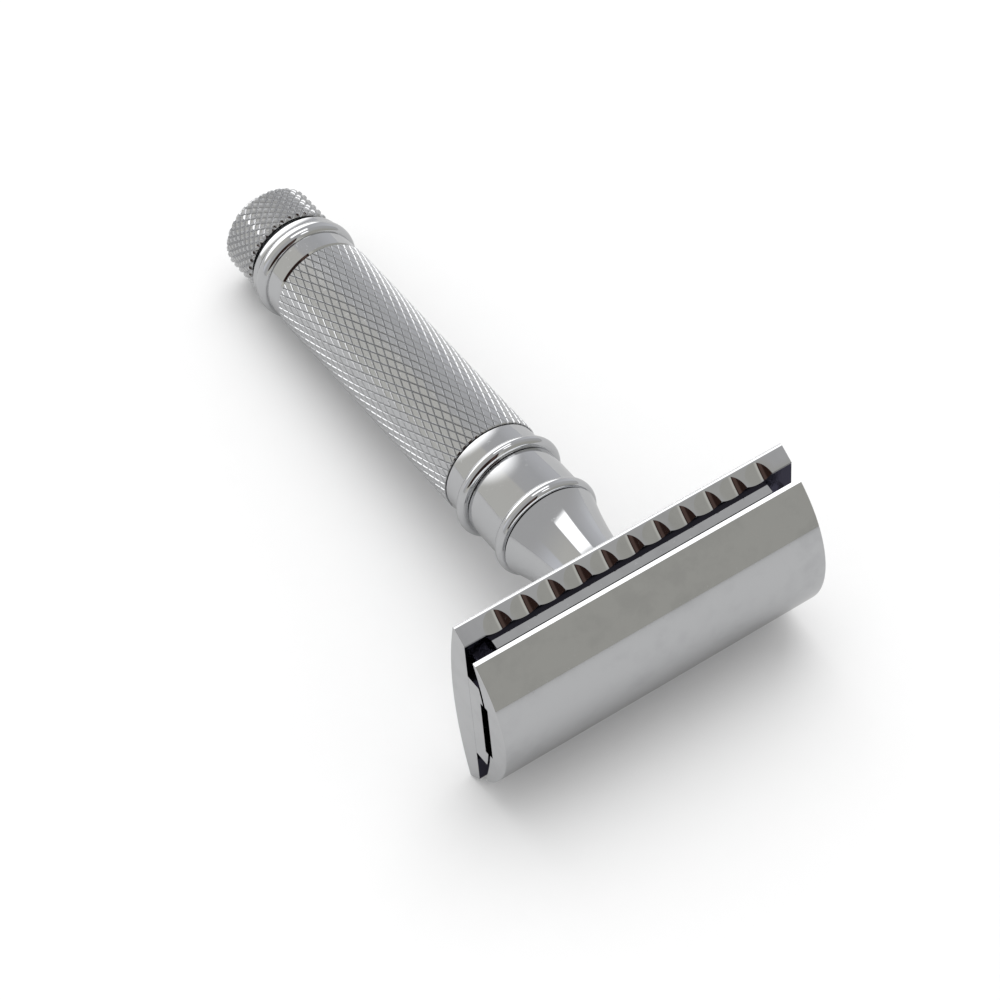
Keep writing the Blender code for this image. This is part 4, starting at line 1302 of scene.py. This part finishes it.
def add_surroundings():
    """A grey room with a white wall behind, two lamps above, a dim front and a dark figure in front."""
    world = bpy.data.worlds.new("surroundings")
    world.use_nodes = True
    tree = world.node_tree
    background = tree.nodes["Background"]
    place = tree.nodes.new("ShaderNodeTexCoord")
    split = tree.nodes.new("ShaderNodeSeparateXYZ")
    wire(tree, place.outputs["Generated"], split.inputs[0])
    x, y, z = split.outputs
    sides = tree.nodes.new("ShaderNodeValToRGB")
    wire(tree, calculate(tree, "MULTIPLY_ADD", x, 0.5, 0.5), sides.inputs[0])
    stops = sides.color_ramp.elements
    while len(stops) < len(SIDE_COLOURS):
        stops.new(0.5)
    for stop, (place_along_x, colour) in zip(stops, SIDE_COLOURS):
        stop.position = (place_along_x + 1) / 2
        stop.color = (*colour, 1.0)
    room = blend(tree, ROOM_COLOUR, sides.outputs["Color"], remap(tree, y, *SIDES_FROM))
    dim = calculate(tree, "MULTIPLY", remap(tree, y, *FRONT_FROM), remap(tree, z, *FRONT_TOP))
    front_colour = blend(tree, NEAR_FIGURE_COLOUR, FRONT_COLOUR, remap(tree, x, *NEAR_FIGURE_TO))
    room = blend(tree, room, front_colour, dim)
    figure = calculate(tree, "MULTIPLY", remap(tree, x, *FIGURE_RIGHT), remap(tree, y, *FIGURE_BACK))
    figure = calculate(tree, "MULTIPLY", figure, remap(tree, z, *FIGURE_FOOT))
    streak = calculate(tree, "MULTIPLY", remap(tree, x, *STREAK_RIGHT), remap(tree, x, *STREAK_LEFT))
    room = blend(tree, room, blend(tree, FIGURE_COLOUR, STREAK_COLOUR, streak), figure)
    lamps = [lit_patch(tree, x, y, edges) for edges in (LAMP_EDGES, PANEL_EDGES)]
    lamp = calculate(tree, "MULTIPLY", calculate(tree, "MAXIMUM", *lamps), remap(tree, z, *LAMP_FOOT))
    white = calculate(tree, "MAXIMUM", lamp, remap(tree, y, *WALL_FROM))
    room = blend(tree, room, WALL_COLOUR, white)
    path = tree.nodes.new("ShaderNodeLightPath")
    lit = blend(tree, AMBIENT_COLOUR, room, path.outputs["Is Glossy Ray"])
    wire(tree, lit, background.inputs["Color"])
    bpy.context.scene.world = world


def add_light():
    """A soft square light that faces the razor, unseen in the metal."""
    data = bpy.data.lights.new("overhead light", "AREA")
    data.shape = "RECTANGLE"
    data.size = data.size_y = LIGHT_SIZE
    data.energy = LIGHT_POWER
    light = bpy.data.objects.new("overhead light", data)
    bpy.context.scene.collection.objects.link(light)
    light.location = LIGHT_PLACE
    light.rotation_mode = "QUATERNION"
    light.rotation_quaternion = (-Vector(LIGHT_PLACE)).to_track_quat("-Z", "Y")
    light.visible_glossy = False


def floor_material(colour):
    """A matt white table with a faint mottle, and painted shade where the metal reflects it."""
    material = bpy.data.materials.new("white table")
    material.use_nodes = True
    tree = material.node_tree
    shader = tree.nodes["Principled BSDF"]
    shader.inputs["Roughness"].default_value = 0.8
    shader.inputs["Specular IOR Level"].default_value = 0.1
    place = tree.nodes.new("ShaderNodeTexCoord")
    mottle = remap(tree, noise(tree, place.outputs["Object"], 300.0, 4.0), 0.3, 0.7)
    mask = calculate(tree, "MULTIPLY", mottle, TABLE_MOTTLE)
    plain = blend(tree, colour, tuple(channel * TABLE_SHADE for channel in colour), mask)
    # Painted shade: glossy rays see the table darker than it is.
    path = tree.nodes.new("ShaderNodeLightPath")
    dimmer = tuple(channel * REFLECTED_TABLE_SHADE for channel in colour)
    wire(tree, blend(tree, plain, dimmer, path.outputs["Is Glossy Ray"]), shader.inputs["Base Color"])
    return material


class RAZOR_OT_stage(bpy.types.Operator):
    """Make the table, the soft studio light and the camera"""

    bl_idname = "razor.stage"
    bl_label = "Table, light and camera"

    def execute(self, context):
        builder = bmesh.new()
        bmesh.ops.create_grid(builder, x_segments=1, y_segments=1, size=TABLE_SIZE)
        mesh = bpy.data.meshes.new("table")
        builder.to_mesh(mesh)
        builder.free()
        mesh.materials.append(floor_material(tuple(context.scene.razor_finish.floor)))
        table = bpy.data.objects.new("table", mesh)
        context.scene.collection.objects.link(table)
        add_surroundings()
        add_light()
        add_camera()
        context.scene.view_settings.view_transform = "Standard"
        return {"FINISHED"}


class RAZOR_PT_panel(bpy.types.Panel):
    """Lists the razor's pieces"""

    bl_label = "Safety razor"
    bl_idname = "RAZOR_PT_panel"
    bl_space_type = "VIEW_3D"
    bl_region_type = "UI"
    bl_category = "Razor"

    def draw(self, context):
        for operator in OPERATORS:
            self.layout.operator(operator.bl_idname)


GROUP_CLASSES = {
    "razor_head": RAZOR_PG_head,
    "razor_handle": RAZOR_PG_handle,
    "razor_knurl": RAZOR_PG_knurl,
    "razor_finish": RAZOR_PG_finish,
}
OPERATORS = (
    RAZOR_OT_cap,
    RAZOR_OT_guard_plate,
    RAZOR_OT_cap_fixings,
    RAZOR_OT_neck,
    RAZOR_OT_collar,
    RAZOR_OT_grip,
    RAZOR_OT_ferrule,
    RAZOR_OT_knob,
    RAZOR_OT_inner_works,
    RAZOR_OT_stage,
)


def register():
    """Register the settings, the operators and the panel."""
    for name, group in GROUP_CLASSES.items():
        bpy.utils.register_class(group)
        setattr(bpy.types.Scene, name, PointerProperty(type=group))
    for operator in OPERATORS:
        bpy.utils.register_class(operator)
    bpy.utils.register_class(RAZOR_PT_panel)


def unregister():
    """Remove what register added."""
    bpy.utils.unregister_class(RAZOR_PT_panel)
    for operator in reversed(OPERATORS):
        bpy.utils.unregister_class(operator)
    for name, group in GROUP_CLASSES.items():
        delattr(bpy.types.Scene, name)
        bpy.utils.unregister_class(group)


def main():
    """Make every piece and the stage."""
    register()
    for operator in OPERATORS:
        area, name = operator.bl_idname.split(".")
        getattr(getattr(bpy.ops, area), name)()


if __name__ == "__main__":
    main()
